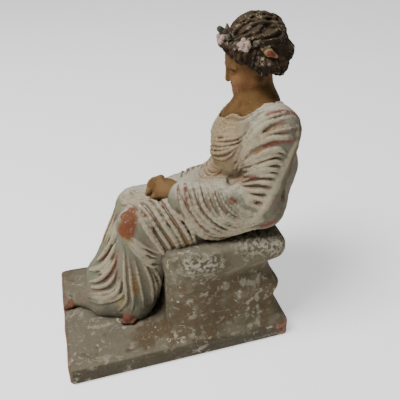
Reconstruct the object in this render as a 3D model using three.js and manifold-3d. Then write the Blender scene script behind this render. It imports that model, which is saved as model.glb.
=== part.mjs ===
// A moulded terracotta figurine: a lady wrapped in a mantle sits on a moulded block seat, on a plain slab.
// Lady, seat and slab were fired as one piece, so they are one solid.
// Millimetres, +Z up. The origin is the middle of the slab's underside, and the lady looks along -X.
import * as THREE from "three";
import { mergeVertices } from "three/addons/utils/BufferGeometryUtils.js";
import Module from "manifold-3d";

// Slab
const SLAB_LENGTH = 145;
const SLAB_WIDTH = 98;
const SLAB_THICKNESS = 13;
const SLAB_CORNER = 3;
const SLAB_BEVEL = 0.8;

// Seat: its foot lines up with the slab's back and long sides
const SEAT_LENGTH = 82;
const SEAT_HEIGHT = 67;
const SEAT_MARGIN = 0.6;
const SEAT_CORNER = 7;
const ROLL_DEPTH = 7.5;
const SECOND_ROLL_DEPTH = 2.6;
const NECK_INSET = 9.8;
const FOOT_FLARE = 6.2;
const RELIEF_DEPTH = 0.8;
const RELIEF_COUNT = 3;

// Lady: her height above the slab. Her pose, proportions and carving are drawn at DRAWN_HEIGHT
const FIGURE_HEIGHT = 189;
const DRAWN_HEIGHT = 189;
const DRAWN_SEAT_HEIGHT = 67;
const DRAWN_SEAT_BACK = 72;

// Working grid of the lady's form, and how many triangles are kept of it
const CELL = 1;
const FIGURE_TRIANGLES = 8500;
const REACH = 8;

const TERRACOTTA = new THREE.MeshStandardMaterial({ color: 0xb3a68f, roughness: 0.9, metalness: 0 });

const wasm = await Module();
wasm.setup();

const share = FIGURE_HEIGHT / DRAWN_HEIGHT;
const seatTop = SLAB_THICKNESS + SEAT_HEIGHT;
const seatBack = SLAB_LENGTH / 2 - SEAT_MARGIN;

// Carries a drawn place to the part: her feet stay on the slab and her hips on the seat.
function place([x, y, z]) {
  const below = Math.min(z, DRAWN_SEAT_HEIGHT) / DRAWN_SEAT_HEIGHT;
  const above = Math.max(z - DRAWN_SEAT_HEIGHT, 0);
  return new THREE.Vector3(
    seatBack + (x - DRAWN_SEAT_BACK) * share,
    y * share,
    SLAB_THICKNESS + below * SEAT_HEIGHT + above * share,
  );
}

// Forms: each has a box around it and a distance, negative inside

function roundCone(from, to, fromRadius, toRadius) {
  const axis = to.clone().sub(from);
  const length = axis.length();
  const widest = Math.max(fromRadius, toRadius);
  const box = new THREE.Box3().setFromPoints([from, to]).expandByScalar(widest);
  const spot = new THREE.Vector3();
  return {
    box,
    distance(p) {
      const along = THREE.MathUtils.clamp(spot.copy(p).sub(from).dot(axis) / (length * length || 1), 0, 1);
      spot.copy(from).addScaledVector(axis, along);
      return spot.distanceTo(p) - THREE.MathUtils.lerp(fromRadius, toRadius, along);
    },
  };
}

function ellipsoid(centre, radii, turn = new THREE.Quaternion()) {
  const back = turn.clone().invert();
  const widest = Math.max(radii.x, radii.y, radii.z);
  const box = new THREE.Box3().setFromCenterAndSize(centre, new THREE.Vector3()).expandByScalar(widest);
  const spot = new THREE.Vector3();
  return {
    box,
    distance(p) {
      spot.copy(p).sub(centre).applyQuaternion(back).divide(radii);
      const first = spot.length();
      const second = spot.divide(radii).length();
      return second > 0 ? (first * (first - 1)) / second : -Math.min(radii.x, radii.y, radii.z);
    },
  };
}

// Clay: a grid of signed distances that forms are pressed into or carved out of
class Clay {
  constructor(low, high) {
    this.low = low;
    const steps = high.clone().sub(low).divideScalar(CELL).ceil();
    this.size = [steps.x + 1, steps.y + 1, steps.z + 1];
    this.field = new Float32Array(this.size[0] * this.size[1] * this.size[2]).fill(REACH);
  }

  index(i, j, k) {
    return (k * this.size[1] + j) * this.size[0] + i;
  }

  work(form, blend, mix) {
    const first = form.box.min.clone().subScalar(REACH).sub(this.low).divideScalar(CELL).ceil().toArray();
    const last = form.box.max.clone().addScalar(REACH).sub(this.low).divideScalar(CELL).floor().toArray();
    const from = first.map((n) => Math.max(n, 0));
    const to = last.map((n, axis) => Math.min(n, this.size[axis] - 1));
    const p = new THREE.Vector3();
    for (let k = from[2]; k <= to[2]; k++)
      for (let j = from[1]; j <= to[1]; j++)
        for (let i = from[0]; i <= to[0]; i++) {
          p.set(i, j, k).multiplyScalar(CELL).add(this.low);
          const at = this.index(i, j, k);
          this.field[at] = mix(this.field[at], form.distance(p), blend);
        }
  }

  press(form, blend) {
    this.work(form, blend, smoothMin);
  }

  carve(form, blend) {
    this.work(form, blend, (a, b, k) => -smoothMin(-a, b, k));
  }

  // Leaves nothing on the border of the grid, so that the surface closes
  close() {
    const [nx, ny, nz] = this.size;
    for (let at = 0; at < this.field.length; at++) {
      const i = at % nx;
      const j = Math.floor(at / nx) % ny;
      const k = Math.floor(at / (nx * ny));
      if (i % (nx - 1) === 0 || j % (ny - 1) === 0 || k % (nz - 1) === 0) this.field[at] = CELL;
    }
  }

  at(p) {
    const spot = p.clone().sub(this.low).divideScalar(CELL);
    const cell = spot.toArray().map((n, axis) => THREE.MathUtils.clamp(Math.floor(n), 0, this.size[axis] - 2));
    const part = spot.toArray().map((n, axis) => THREE.MathUtils.clamp(n - cell[axis], 0, 1));
    let sum = 0;
    for (let corner = 0; corner < 8; corner++) {
      const bit = [corner & 1, (corner >> 1) & 1, corner >> 2];
      const weight = bit.reduce((w, b, axis) => w * (b ? part[axis] : 1 - part[axis]), 1);
      sum += weight * this.field[this.index(cell[0] + bit[0], cell[1] + bit[1], cell[2] + bit[2])];
    }
    return sum;
  }

  // Slides a place near the surface onto it
  settle(p) {
    const slope = new THREE.Vector3();
    const step = new THREE.Vector3();
    for (let pass = 0; pass < 6; pass++) {
      for (let axis = 0; axis < 3; axis++) {
        step.set(0, 0, 0).setComponent(axis, CELL);
        slope.setComponent(axis, this.at(p.clone().add(step)) - this.at(p.clone().sub(step)));
      }
      if (slope.lengthSq() === 0) return p;
      p.addScaledVector(slope.normalize(), -THREE.MathUtils.clamp(this.at(p), -2 * CELL, 2 * CELL));
    }
    return p;
  }
}

function smoothMin(a, b, blend) {
  const overlap = Math.max(blend - Math.abs(a - b), 0) / blend;
  return Math.min(a, b) - (overlap * overlap * blend) / 4;
}

// The surface of the clay: each grid cube is cut into six tetrahedra, so the surface always closes
const AXIS_ORDERS = [[0, 1, 2], [0, 2, 1], [1, 0, 2], [1, 2, 0], [2, 0, 1], [2, 1, 0]];
const ORDER_SIGNS = [1, -1, -1, 1, 1, -1];

function surface(clay) {
  const points = [];
  const faces = [];
  const made = new Map();
  const [nx, ny, nz] = clay.size;
  const corners = AXIS_ORDERS.map((order) => {
    const corner = [0, 0, 0];
    return [corner.slice(), ...order.map((axis) => ((corner[axis] = 1), corner.slice()))];
  });
  const total = nx * ny * nz;
  const placeOf = (at) => [at % nx, Math.floor(at / nx) % ny, Math.floor(at / (nx * ny))];

  function crossing(a, b) {
    const key = Math.min(a, b) * total + Math.max(a, b);
    if (made.has(key)) return made.get(key);
    const [low, high] = a < b ? [a, b] : [b, a];
    const part = THREE.MathUtils.clamp(clay.field[low] / (clay.field[low] - clay.field[high]), 0.04, 0.96);
    const p = placeOf(low);
    const q = placeOf(high);
    points.push(new THREE.Vector3(...p.map((n, axis) => n + (q[axis] - n) * part)).multiplyScalar(CELL).add(clay.low));
    made.set(key, points.length - 1);
    return points.length - 1;
  }

  for (let k = 0; k < nz - 1; k++)
    for (let j = 0; j < ny - 1; j++)
      for (let i = 0; i < nx - 1; i++) {
        const base = clay.index(i, j, k);
        const sign = clay.field[base] < 0;
        let mixed = false;
        for (let corner = 1; corner < 8 && !mixed; corner++)
          mixed = clay.field[base + (corner & 1) + ((corner >> 1) & 1) * nx + (corner >> 2) * nx * ny] < 0 !== sign;
        if (!mixed) continue;
        corners.forEach((tet, turn) => {
          const at = tet.map(([x, y, z]) => base + x + y * nx + z * nx * ny);
          const inside = [0, 1, 2, 3].filter((n) => clay.field[at[n]] < 0);
          if (inside.length === 0 || inside.length === 4) return;
          const order = [...inside, ...[0, 1, 2, 3].filter((n) => !inside.includes(n))];
          let parity = ORDER_SIGNS[turn];
          for (let a = 0; a < 4; a++) for (let b = a + 1; b < 4; b++) if (order[a] > order[b]) parity = -parity;
          if (parity < 0) {
            const first = inside.length === 1 ? 2 : 0;
            [order[first], order[first + 1]] = [order[first + 1], order[first]];
          }
          const [p, q, r, s] = order.map((n) => at[n]);
          if (inside.length === 1) faces.push([crossing(p, q), crossing(p, r), crossing(p, s)]);
          else if (inside.length === 3) faces.push([crossing(s, p), crossing(s, q), crossing(s, r)]);
          else {
            const ring = [crossing(p, r), crossing(p, s), crossing(q, s), crossing(q, r)];
            faces.push([ring[0], ring[1], ring[2]], [ring[0], ring[2], ring[3]]);
          }
        });
      }
  return { points, faces };
}

// A heap of edges, cheapest first
class Heap {
  constructor() {
    this.items = [];
  }

  push(item) {
    const items = this.items;
    let at = items.push(item) - 1;
    while (at > 0) {
      const up = (at - 1) >> 1;
      if (items[up].cost <= item.cost) break;
      items[at] = items[up];
      at = up;
    }
    items[at] = item;
  }

  pop() {
    const items = this.items;
    const top = items[0];
    const item = items.pop();
    if (items.length === 0) return top;
    let at = 0;
    for (;;) {
      let next = 2 * at + 1;
      if (next >= items.length) break;
      if (next + 1 < items.length && items[next + 1].cost < items[next].cost) next++;
      if (items[next].cost >= item.cost) break;
      items[at] = items[next];
      at = next;
    }
    items[at] = item;
    return top;
  }
}

// Merges edges, the least missed first, until about `target` faces are left. Folds keep their crests,
// because a merge costs the squared distance from the planes of the faces that it stands for.
function thin({ points, faces }, target) {
  const around = points.map(() => new Set());
  const planes = points.map(() => new Float64Array(10));
  const stamps = new Int32Array(points.length);
  const heap = new Heap();
  let left = faces.length;

  const normalOf = (a, b, c) => b.clone().sub(a).cross(c.clone().sub(a));
  faces.forEach((face, at) => {
    const [a, b, c] = face.map((n) => points[n]);
    const normal = normalOf(a, b, c);
    const weight = normal.length();
    normal.normalize();
    const [x, y, z, w] = [normal.x, normal.y, normal.z, -normal.dot(a)];
    const plane = [x * x, x * y, x * z, x * w, y * y, y * z, y * w, z * z, z * w, w * w];
    for (const n of face) {
      around[n].add(at);
      plane.forEach((value, slot) => (planes[n][slot] += value * weight));
    }
  });

  function miss(q, p) {
    const { x, y, z } = p;
    return q[0] * x * x + 2 * q[1] * x * y + 2 * q[2] * x * z + 2 * q[3] * x + q[4] * y * y
      + 2 * q[5] * y * z + 2 * q[6] * y + q[7] * z * z + 2 * q[8] * z + q[9];
  }

  function offer(a, b) {
    const sum = planes[a].map((value, slot) => value + planes[b][slot]);
    const middle = points[a].clone().lerp(points[b], 0.5);
    const matrix = new THREE.Matrix3().set(sum[0], sum[1], sum[2], sum[1], sum[4], sum[5], sum[2], sum[5], sum[7]);
    const choices = [points[a], points[b], middle];
    if (Math.abs(matrix.determinant()) > 1e-3) {
      const best = new THREE.Vector3(-sum[3], -sum[6], -sum[8]).applyMatrix3(matrix.invert());
      if (best.distanceTo(middle) < points[a].distanceTo(points[b])) choices.push(best);
    }
    const costs = choices.map((p) => miss(sum, p) + 1e-4 * p.distanceToSquared(middle));
    const pick = costs.indexOf(Math.min(...costs));
    heap.push({ cost: costs[pick], a, b, to: choices[pick].clone(), stamp: stamps[a] + stamps[b] });
  }

  const neighbours = (n) => {
    const found = new Set();
    for (const at of around[n]) for (const m of faces[at]) if (m !== n) found.add(m);
    return found;
  };

  // True if moving a corner of a face would turn the face over or flatten it
  function turnsOver(n, other, to) {
    for (const at of around[n]) {
      const face = faces[at];
      if (face.includes(other)) continue;
      const before = normalOf(...face.map((m) => points[m]));
      const after = normalOf(...face.map((m) => (m === n ? to : points[m])));
      if (before.dot(after) < 0.3 * before.length() * after.length() || after.length() < 1e-3) return true;
    }
    return false;
  }

  points.forEach((_, n) => {
    for (const m of neighbours(n)) if (n < m) offer(n, m);
  });
  while (left > target && heap.items.length) {
    const { a, b, to, stamp } = heap.pop();
    if (stamps[a] < 0 || stamps[b] < 0 || stamps[a] + stamps[b] !== stamp) continue;
    const near = neighbours(a);
    if ([...neighbours(b)].filter((m) => near.has(m)).length !== 2) continue;
    if (turnsOver(a, b, to) || turnsOver(b, a, to)) continue;
    points[a] = to;
    planes[b].forEach((value, slot) => (planes[a][slot] += value));
    for (const at of around[b]) {
      const face = faces[at];
      if (face.includes(a)) {
        for (const n of face) around[n].delete(at);
        faces[at] = null;
        left--;
      } else {
        face[face.indexOf(b)] = a;
        around[a].add(at);
      }
    }
    stamps[a] += 1;
    stamps[b] = -1e9;
    for (const m of neighbours(a)) offer(a, m);
  }
  return { points, faces: faces.filter((face) => face) };
}

// The lady

const v = (...drawn) => place(drawn);
const sized = (length) => length * share;

function limb(clay, from, to, fromRadius, toRadius, blend) {
  clay.press(roundCone(v(...from), v(...to), sized(fromRadius), sized(toRadius)), sized(blend));
}

function lump(clay, centre, radii, blend, turn) {
  const size = new THREE.Vector3(...radii).multiplyScalar(share);
  clay.press(ellipsoid(v(...centre), size, turn), sized(blend));
}

const NEAR = -1;
const FAR = 1;

function trunk(clay) {
  lump(clay, [53, 0, 80], [24, 30, 17], 8);
  lump(clay, [51.5, -2, 93], [19, 20, 18], 8);
  lump(clay, [57.5, 0, 116], [18, 25, 22], 9);
  lump(clay, [41.5, -10.5, 116], [10, 10, 10], 6);
  lump(clay, [47.5, 9, 114], [9, 9.5, 9.5], 6);
  limb(clay, [60, -10, 131], [63, -26, 130], 12, 12.5, 9);
  limb(clay, [65.5, 8, 127], [72, 22, 120], 10, 10.5, 8);
  for (const side of [NEAR, FAR]) {
    limb(clay, [66, side * 23, 124], [68.5, side * 22, 104], 10.5, 10.5, 8);
    limb(clay, [68.5, side * 22, 104], [66, side * 22, 78], 10.5, 10, 8);
  }
  limb(clay, [67, 0, 130], [68, 0, 104], 10, 11, 10);
  limb(clay, [68, 0, 104], [66, 0, 78], 11, 11, 10);
}

function neck(clay) {
  limb(clay, [63, 0, 128], [62.5, 0, 138], 15, 12.5, 8);
  limb(clay, [62.5, 0, 138], [62, 1, 156], 11.2, 10.5, 4);
}

function arms(clay) {
  limb(clay, [63, -27, 130], [56, -31, 84], 13, 12.5, 7);
  limb(clay, [56, -31, 84], [34, -27, 95], 12.5, 12, 7);
  limb(clay, [34, -27, 95], [12, -23, 93], 12, 11, 6);
  lump(clay, [34, -28, 80], [24, 11, 14], 7);
  limb(clay, [12, -22, 95], [0, -12, 94], 6, 5.2, 3);
  limb(clay, [72, 23, 119], [61, 27, 80], 10.5, 10, 7);
  limb(clay, [61, 27, 80], [28, 12, 75], 10, 8, 6);
  limb(clay, [28, 12, 75], [8, -1, 83.5], 8, 6, 4);
  lump(clay, [44, 26, 71], [22, 11, 10], 6);
}

function hands(clay) {
  limb(clay, [3, -14, 95], [-5, -6, 94], 6.5, 5.5, 2.5);
  limb(clay, [6, -1, 88], [-3, -3, 90], 5.5, 5, 2.5);
  limb(clay, [-5, -8, 96], [-8, -5, 95], 3, 2.2, 1.5);
}

function legs(clay) {
  limb(clay, [52, -17, 80], [-17, -20, 76.5], 16, 12, 8);
  limb(clay, [52, 17, 77], [-14, 15.5, 69], 14, 11, 7);
  limb(clay, [40, 0, 80], [-11, -2, 71], 15, 11, 10);
  limb(clay, [30, -25, 73], [-5, -25, 68], 11, 9.5, 6);
  limb(clay, [30, 25, 71], [-5, 22, 64], 10, 9, 6);
  limb(clay, [-17, -20, 76], [-21, -9, 10], 11.5, 10, 6);
  limb(clay, [-5, -22, 64], [-13, -10, 8], 8.5, 9, 6);
  limb(clay, [-14, 15.5, 69], [-41, 13, 20], 11, 9.5, 6);
  limb(clay, [-41, 13, 20], [-46, 9, 2], 10, 9.5, 6);
  limb(clay, [-13, -2, 64], [-36, 3, 8], 11, 12, 10);
  limb(clay, [-3, 14, 60], [-16, 12, 6], 10, 13, 8);
}

function feet(clay) {
  limb(clay, [-48, 9, 5], [-63, 8.5, 4.5], 8, 5.5, 3);
  limb(clay, [-63, 8.5, 4], [-68, 8, 3], 4.8, 3.2, 1.5);
  limb(clay, [-22, -14, 5], [-32, -19, 3.5], 6, 4, 2);
}

// Head, drawn in a frame of its own: the face looks along -X, bowed and turned a little to her right
const HEAD_PLACE = [59.5, 1, 161];
const HEAD_BOW = THREE.MathUtils.degToRad(17);
const HEAD_TURN = THREE.MathUtils.degToRad(8);
const headPose = new THREE.Quaternion()
  .setFromAxisAngle(new THREE.Vector3(0, 0, 1), -HEAD_TURN)
  .multiply(new THREE.Quaternion().setFromAxisAngle(new THREE.Vector3(0, 1, 0), -HEAD_BOW));

function onHead(drawn) {
  return new THREE.Vector3(...drawn).multiplyScalar(share).applyQuaternion(headPose).add(v(...HEAD_PLACE));
}

function headLump(clay, centre, radii, blend) {
  const size = new THREE.Vector3(...radii).multiplyScalar(share);
  clay.press(ellipsoid(onHead(centre), size, headPose), sized(blend));
}

function headLimb(clay, from, to, fromRadius, toRadius, blend) {
  clay.press(roundCone(onHead(from), onHead(to), sized(fromRadius), sized(toRadius)), sized(blend));
}

function face(clay) {
  headLump(clay, [2, 0, 4], [16.5, 12.5, 14], 3);
  headLump(clay, [-4, 0, -4], [10.8, 10.3, 12.5], 3);
  headLimb(clay, [-11.6, 0, -13], [-12, 0, -13], 3.4, 3.4, 3);
  headLimb(clay, [-14.2, 0, 2], [-15.8, 0, -4.6], 1, 1.7, 1.2);
  headLimb(clay, [-14.2, -1.6, -9], [-14.2, 1.6, -9], 1.6, 1.6, 1.2);
  for (const side of [NEAR, FAR]) {
    headLimb(clay, [-11, side * 2, -13], [-1, side * 8.5, -7], 3, 4, 4);
    headLimb(clay, [-9.5, side * 5.6, -5.4], [-9, side * 5.6, -5.4], 4.4, 4.4, 3);
    headLimb(clay, [-13.4, side * 2.2, 3.2], [-10.8, side * 8, 2.8], 1.3, 1.3, 1.6);
    const socket = roundCone(onHead([-15.2, side * 3.8, 0.4]), onHead([-12.8, side * 7.2, 0]), sized(1.8), sized(1.6));
    clay.carve(socket, sized(1.5));
    headLimb(clay, [-12.3, side * 4.2, -0.4], [-11.5, side * 5.8, -0.6], 1.8, 1.6, 0.8);
  }
}

const CROWN_HAIR = [5.5, 0, 8.5];
const CROWN_RADII = [17.5, 15.5, 16.8];

function hair(clay) {
  headLump(clay, CROWN_HAIR, CROWN_RADII, 2);
  for (const side of [NEAR, FAR]) {
    headLimb(clay, [-10.8, side * 2, 15], [-5, side * 11.5, 10.5], 4, 4.6, 2.5);
    headLimb(clay, [-5, side * 11.5, 10.5], [3, side * 13.5, 1.5], 4.6, 5, 2.5);
    headLimb(clay, [3, side * 13.5, 1.5], [11.5, side * 10.5, -3], 5, 4.8, 2.5);
    headLimb(clay, [11.5, side * 10.5, -3], [14, side * 3, -5], 4.8, 5.6, 2.5);
    headLump(clay, [18.5, side * 5, 1.5], [5.5, 6, 5.5], 1.5);
  }
}

// Wavy locks run back from the face over the crown
const LOCK_COUNT = 7;
const LOCK_RADIUS = 1.5;

function locks(clay) {
  const drawn = Array.from({ length: LOCK_COUNT }, (_, n) => {
    const across = (n / (LOCK_COUNT - 1) - 0.5) * Math.PI * 0.8;
    const line = [];
    for (let part = 0; part <= 1; part += 0.125) {
      const back = Math.PI * (0.12 + 0.76 * part);
      const sway = across + 0.09 * Math.sin(part * 14 + n * 2);
      line.push(onHead([
        CROWN_HAIR[0] - CROWN_RADII[0] * Math.cos(back),
        CROWN_HAIR[1] + CROWN_RADII[1] * Math.sin(back) * Math.sin(sway),
        CROWN_HAIR[2] + CROWN_RADII[2] * Math.sin(back) * Math.cos(sway),
      ]));
    }
    return trace(clay, line);
  });
  for (const spots of drawn) stroke(clay, spots, LOCK_RADIUS, FOLD_BLEND);
}

// Wreath: rosettes, buds and a leaf tucked into the hair, on a tilted ring
const WREATH_CENTRE = [4, 0, 11];
const WREATH_RADII = [16, 16];
const WREATH_DIP = 0.5;
const ROSETTES = [6, 62, 180, -62];
const BUDS = [115, -115];

function onWreath(degrees, dip = 0) {
  const angle = THREE.MathUtils.degToRad(degrees);
  const x = -WREATH_RADII[0] * Math.cos(angle);
  return [WREATH_CENTRE[0] + x, -WREATH_RADII[1] * Math.sin(angle), WREATH_CENTRE[2] - WREATH_DIP * x + dip];
}

function wreath(clay) {
  for (const degrees of ROSETTES) headLump(clay, onWreath(degrees), [3.6, 3.6, 3.6], 1);
  for (const degrees of BUDS) headLimb(clay, onWreath(degrees - 22, 2), onWreath(degrees + 10, -1), 2.2, 2.8, 1);
  headLimb(clay, [-10, -1.5, 20], [-12.4, -2.5, 24.5], 2.6, 1.8, 1);
}

// Folds of cloth: round strokes that lie on the form, tapering at both ends
const STROKE_STEPS = 12;
const FOLD_BLEND = 1.6;
const SMOOTHING_PASSES = 3;

function trace(clay, line) {
  let spots = new THREE.CatmullRomCurve3(line).getPoints(STROKE_STEPS).map((p) => clay.settle(p));
  for (let pass = 0; pass < SMOOTHING_PASSES; pass++) {
    const before = spots;
    const eased = (n) => before[n - 1].clone().add(before[n]).add(before[n + 1]).divideScalar(3);
    spots = before.map((p, n) => (n % STROKE_STEPS ? clay.settle(eased(n)) : p));
  }
  return spots;
}

function stroke(clay, spots, radius, blend) {
  const width = (n) => sized(radius) * Math.sqrt(Math.sin((Math.PI * (n + 0.4)) / (STROKE_STEPS + 0.8)));
  for (let n = 0; n < STROKE_STEPS; n++) {
    clay.press(roundCone(spots[n], spots[n + 1], width(n), width(n + 1)), sized(blend));
  }
}

// A family of folds fills the space between its rails: lines drawn on the form, with as many points each
function traceFamily(clay, { rails, count }) {
  return Array.from({ length: count }, (_, n) => {
    const along = count > 1 ? (n / (count - 1)) * (rails.length - 1) : 0;
    const rail = Math.max(Math.min(Math.floor(along), rails.length - 2), 0);
    const next = rails[rail + 1] ?? rails[rail];
    return trace(clay, rails[rail].map((point, at) => v(...point).lerp(v(...next[at]), along - rail)));
  });
}

const CHEST_SWAGS = {
  count: 5, radius: 1.5,
  rails: [
    [[54, 14, 129], [44, 4, 126], [44, -11, 128], [50, -24, 136], [60, -31, 143]],
    [[47, 17, 124], [37, 8, 120], [34, -8, 122], [43, -20, 126], [55, -32, 140]],
    [[45, 18, 110], [38, 9, 107], [34, -12, 111], [39, -19, 113], [45, -21, 120]],
  ],
};
const WAIST_TUCKS = {
  count: 2, radius: 1.3,
  rails: [
    [[44, 11, 104], [38, 2, 104], [36, -12, 104], [42, -18, 106]],
    [[43, 10, 95], [33, 2, 96], [28, -12, 98], [34, -18, 104]],
  ],
};
const SLEEVE_FAN = {
  count: 9, radius: 1.9,
  rails: [
    [[42, -19, 107], [45, -21, 118], [49, -30, 132], [54, -33, 140], [70, -34, 141]],
    [[43, -22, 106], [48, -30, 121], [54, -38, 129], [62, -41, 131], [74, -34, 125]],
    [[43, -30, 105], [52, -39, 108], [60, -42, 108], [68, -41, 107], [76, -31, 106]],
    [[41, -34, 104], [49, -40, 100], [57, -43, 96], [64, -42, 91], [70, -38, 88]],
  ],
};
const SLEEVE_SWAGS = {
  count: 5, radius: 2,
  rails: [
    [[7, -22, 103], [7, -33, 93], [14, -37, 80], [28, -39, 70], [44, -40, 69], [58, -41, 76]],
    [[20, -26, 106], [20, -36, 98], [26, -40, 86], [38, -42, 79], [49, -43, 82], [60, -43, 88]],
    [[34, -32, 107], [36, -38, 102], [42, -42, 96], [49, -43, 93], [56, -44, 92], [63, -42, 92]],
  ],
};
const THIGH_FOLDS = {
  count: 5, radius: 1.9,
  rails: [
    [[-21, 2, 79], [-21, -12, 86], [-17, -28, 87], [-12, -33, 78], [-7, -34, 69], [-4, -31, 61]],
    [[-15, 10, 80], [-10, -6, 84], [-5, -25, 88], [0, -32, 80], [4, -35, 72], [7, -33, 62]],
    [[-5, 16, 82], [1, 0, 87], [7, -20, 91], [12, -31, 84], [16, -35, 75], [19, -34, 66]],
  ],
};
const KNEE_SWAGS = {
  count: 3, radius: 1.3,
  rails: [
    [[-24, -29, 80], [-19, -33, 74], [-13, -33, 67], [-6, -32, 65]],
    [[-26, -28, 74], [-21, -31, 62], [-14, -28, 51], [-7, -28, 51]],
  ],
};
const SHIN_FALLS = {
  count: 4, radius: 1.6,
  rails: [
    [[-29, -26, 72], [-29, -22, 52], [-29, -18, 36], [-28, -16, 18]],
    [[-24, -30, 70], [-20, -27, 50], [-18, -24, 34], [-18, -20, 16]],
    [[-19, -30, 60], [-13, -27, 44], [-9, -23, 30], [-8, -18, 14]],
  ],
};
const HEM_SWEEPS = {
  count: 7, radius: 1.7,
  rails: [
    [[-28, 4, 66], [-34, 3, 52], [-40, 6, 40], [-46, 12, 32]],
    [[-31, -8, 50], [-36, -4, 34], [-44, 2, 24], [-53, 9, 19]],
    [[-31, -13, 40], [-36, -10, 22], [-45, -5, 13], [-57, 3, 10]],
    [[-30, -17, 34], [-33, -14, 15], [-43, -8, 7], [-56, 1, 5]],
  ],
};
const FAR_KNEE_FALLS = {
  count: 3, radius: 1.3,
  rails: [
    [[-27, 15, 70], [-34, 14, 56], [-40, 13, 42]],
    [[-25, 3, 70], [-30, 2, 60], [-34, 2, 50]],
  ],
};
const COLLAR = {
  count: 1, radius: 1.7,
  rails: [[[48, 2, 131], [49, -12, 133], [55, -23, 141], [64, -25, 145], [73, -16, 144], [76, 2, 141]]],
};
const MANTLE_EDGE = {
  count: 1, radius: 1.2,
  rails: [[[67, -37, 139], [70, -40, 123], [66, -41, 105], [60, -43, 88]]],
};
const BACK_FALLS = {
  count: 5, radius: 2,
  rails: [
    [[74, -28, 132], [79, -24, 104], [76, -22, 74]],
    [[76, 26, 126], [79, 22, 104], [76, 20, 74]],
  ],
};
const FAR_FAN = {
  count: 7, radius: 1.7,
  rails: [
    [[50, 18, 112], [58, 28, 118], [67, 33, 123], [78, 28, 122]],
    [[50, 27, 88], [57, 34, 87], [66, 36, 86], [77, 28, 83]],
  ],
};
const FAR_SWAGS = {
  count: 4, radius: 1.7,
  rails: [
    [[14, 5, 87], [22, 20, 76], [36, 34, 68], [58, 37, 70]],
    [[38, 20, 82], [45, 28, 80], [54, 35, 78], [64, 37, 79]],
  ],
};
const FAR_THIGH_FOLDS = {
  count: 4, radius: 1.8,
  rails: [
    [[-20, 24, 74], [-14, 27, 66], [-9, 27, 57]],
    [[14, 26, 80], [14, 34, 70], [15, 33, 61]],
  ],
};
const FAR_SHIN_FALLS = {
  count: 4, radius: 2,
  rails: [
    [[-27, 22, 64], [-36, 22, 44], [-46, 21, 20], [-53, 18, 5]],
    [[-8, 27, 56], [-16, 27, 36], [-22, 26, 18], [-27, 24, 5]],
  ],
};

function drapery(clay) {
  const families = [
    CHEST_SWAGS, WAIST_TUCKS, SLEEVE_FAN, SLEEVE_SWAGS, THIGH_FOLDS, KNEE_SWAGS, SHIN_FALLS, HEM_SWEEPS,
    FAR_KNEE_FALLS, COLLAR, MANTLE_EDGE, BACK_FALLS, FAR_FAN, FAR_SWAGS, FAR_THIGH_FOLDS, FAR_SHIN_FALLS,
  ];
  const drawn = families.map((family) => traceFamily(clay, family));
  drawn.forEach((lines, n) => lines.forEach((spots) => stroke(clay, spots, families[n].radius, FOLD_BLEND)));
  clay.carve(roundCone(v(35, -46, 108), v(39, -33, 107), sized(3.6), sized(2)), sized(3));
}

function lady() {
  const clay = new Clay(v(-78, -52, -8), v(96, 52, 200));
  trunk(clay);
  legs(clay);
  arms(clay);
  drapery(clay);
  neck(clay);
  hands(clay);
  feet(clay);
  face(clay);
  hair(clay);
  locks(clay);
  wreath(clay);
  clay.close();
  const { points, faces } = thin(surface(clay), FIGURE_TRIANGLES);
  const geometry = new THREE.BufferGeometry();
  geometry.setAttribute("position", new THREE.Float32BufferAttribute(points.flatMap((p) => p.toArray()), 3));
  geometry.setIndex(faces.flat());
  return geometry;
}

// Slab: a plate with rounded corners and softened edges
function rectangle(left, right, front, back, corner) {
  const shape = new THREE.Shape();
  const quarter = Math.PI / 2;
  shape.absarc(right - corner, front + corner, corner, -quarter, 0);
  shape.absarc(right - corner, back - corner, corner, 0, quarter);
  shape.absarc(left + corner, back - corner, corner, quarter, 2 * quarter);
  shape.absarc(left + corner, front + corner, corner, 2 * quarter, 3 * quarter);
  shape.closePath();
  return shape;
}

function slab() {
  const halfLength = SLAB_LENGTH / 2 - SLAB_BEVEL;
  const halfWidth = SLAB_WIDTH / 2 - SLAB_BEVEL;
  const outline = rectangle(-halfLength, halfLength, -halfWidth, halfWidth, SLAB_CORNER);
  const geometry = new THREE.ExtrudeGeometry(outline, {
    depth: SLAB_THICKNESS - 2 * SLAB_BEVEL,
    bevelThickness: SLAB_BEVEL,
    bevelSize: SLAB_BEVEL,
    bevelSegments: 1,
    curveSegments: 4,
  });
  return geometry.translate(0, 0, SLAB_BEVEL);
}

// Seat: a moulding carried round a rectangle. From the foot up: a flare, a second roll, a neck and a top roll.
function mouldingInset() {
  const waist = FOOT_FLARE;
  return new THREE.SplineCurve([
    new THREE.Vector2(0, -SLAB_THICKNESS / 2),
    new THREE.Vector2(0, 0),
    new THREE.Vector2(waist * 0.45, SEAT_HEIGHT * 0.07),
    new THREE.Vector2(waist, SEAT_HEIGHT * 0.24),
    new THREE.Vector2(waist + 1.2 - SECOND_ROLL_DEPTH, SEAT_HEIGHT * 0.42),
    new THREE.Vector2(waist + 2.4, SEAT_HEIGHT * 0.56),
    new THREE.Vector2(NECK_INSET, SEAT_HEIGHT * 0.67),
    new THREE.Vector2(NECK_INSET - ROLL_DEPTH * 0.8, SEAT_HEIGHT * 0.78),
    new THREE.Vector2(NECK_INSET - ROLL_DEPTH, SEAT_HEIGHT * 0.87),
    new THREE.Vector2(NECK_INSET - ROLL_DEPTH * 0.8, SEAT_HEIGHT * 0.96),
    new THREE.Vector2(NECK_INSET - ROLL_DEPTH * 0.2, SEAT_HEIGHT),
  ]);
}

const SEAT_LEVELS = 15;
const LONG_SIDE_STEPS = 12;
const SHORT_SIDE_STEPS = 2;
const CORNER_STEPS = 3;

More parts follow.
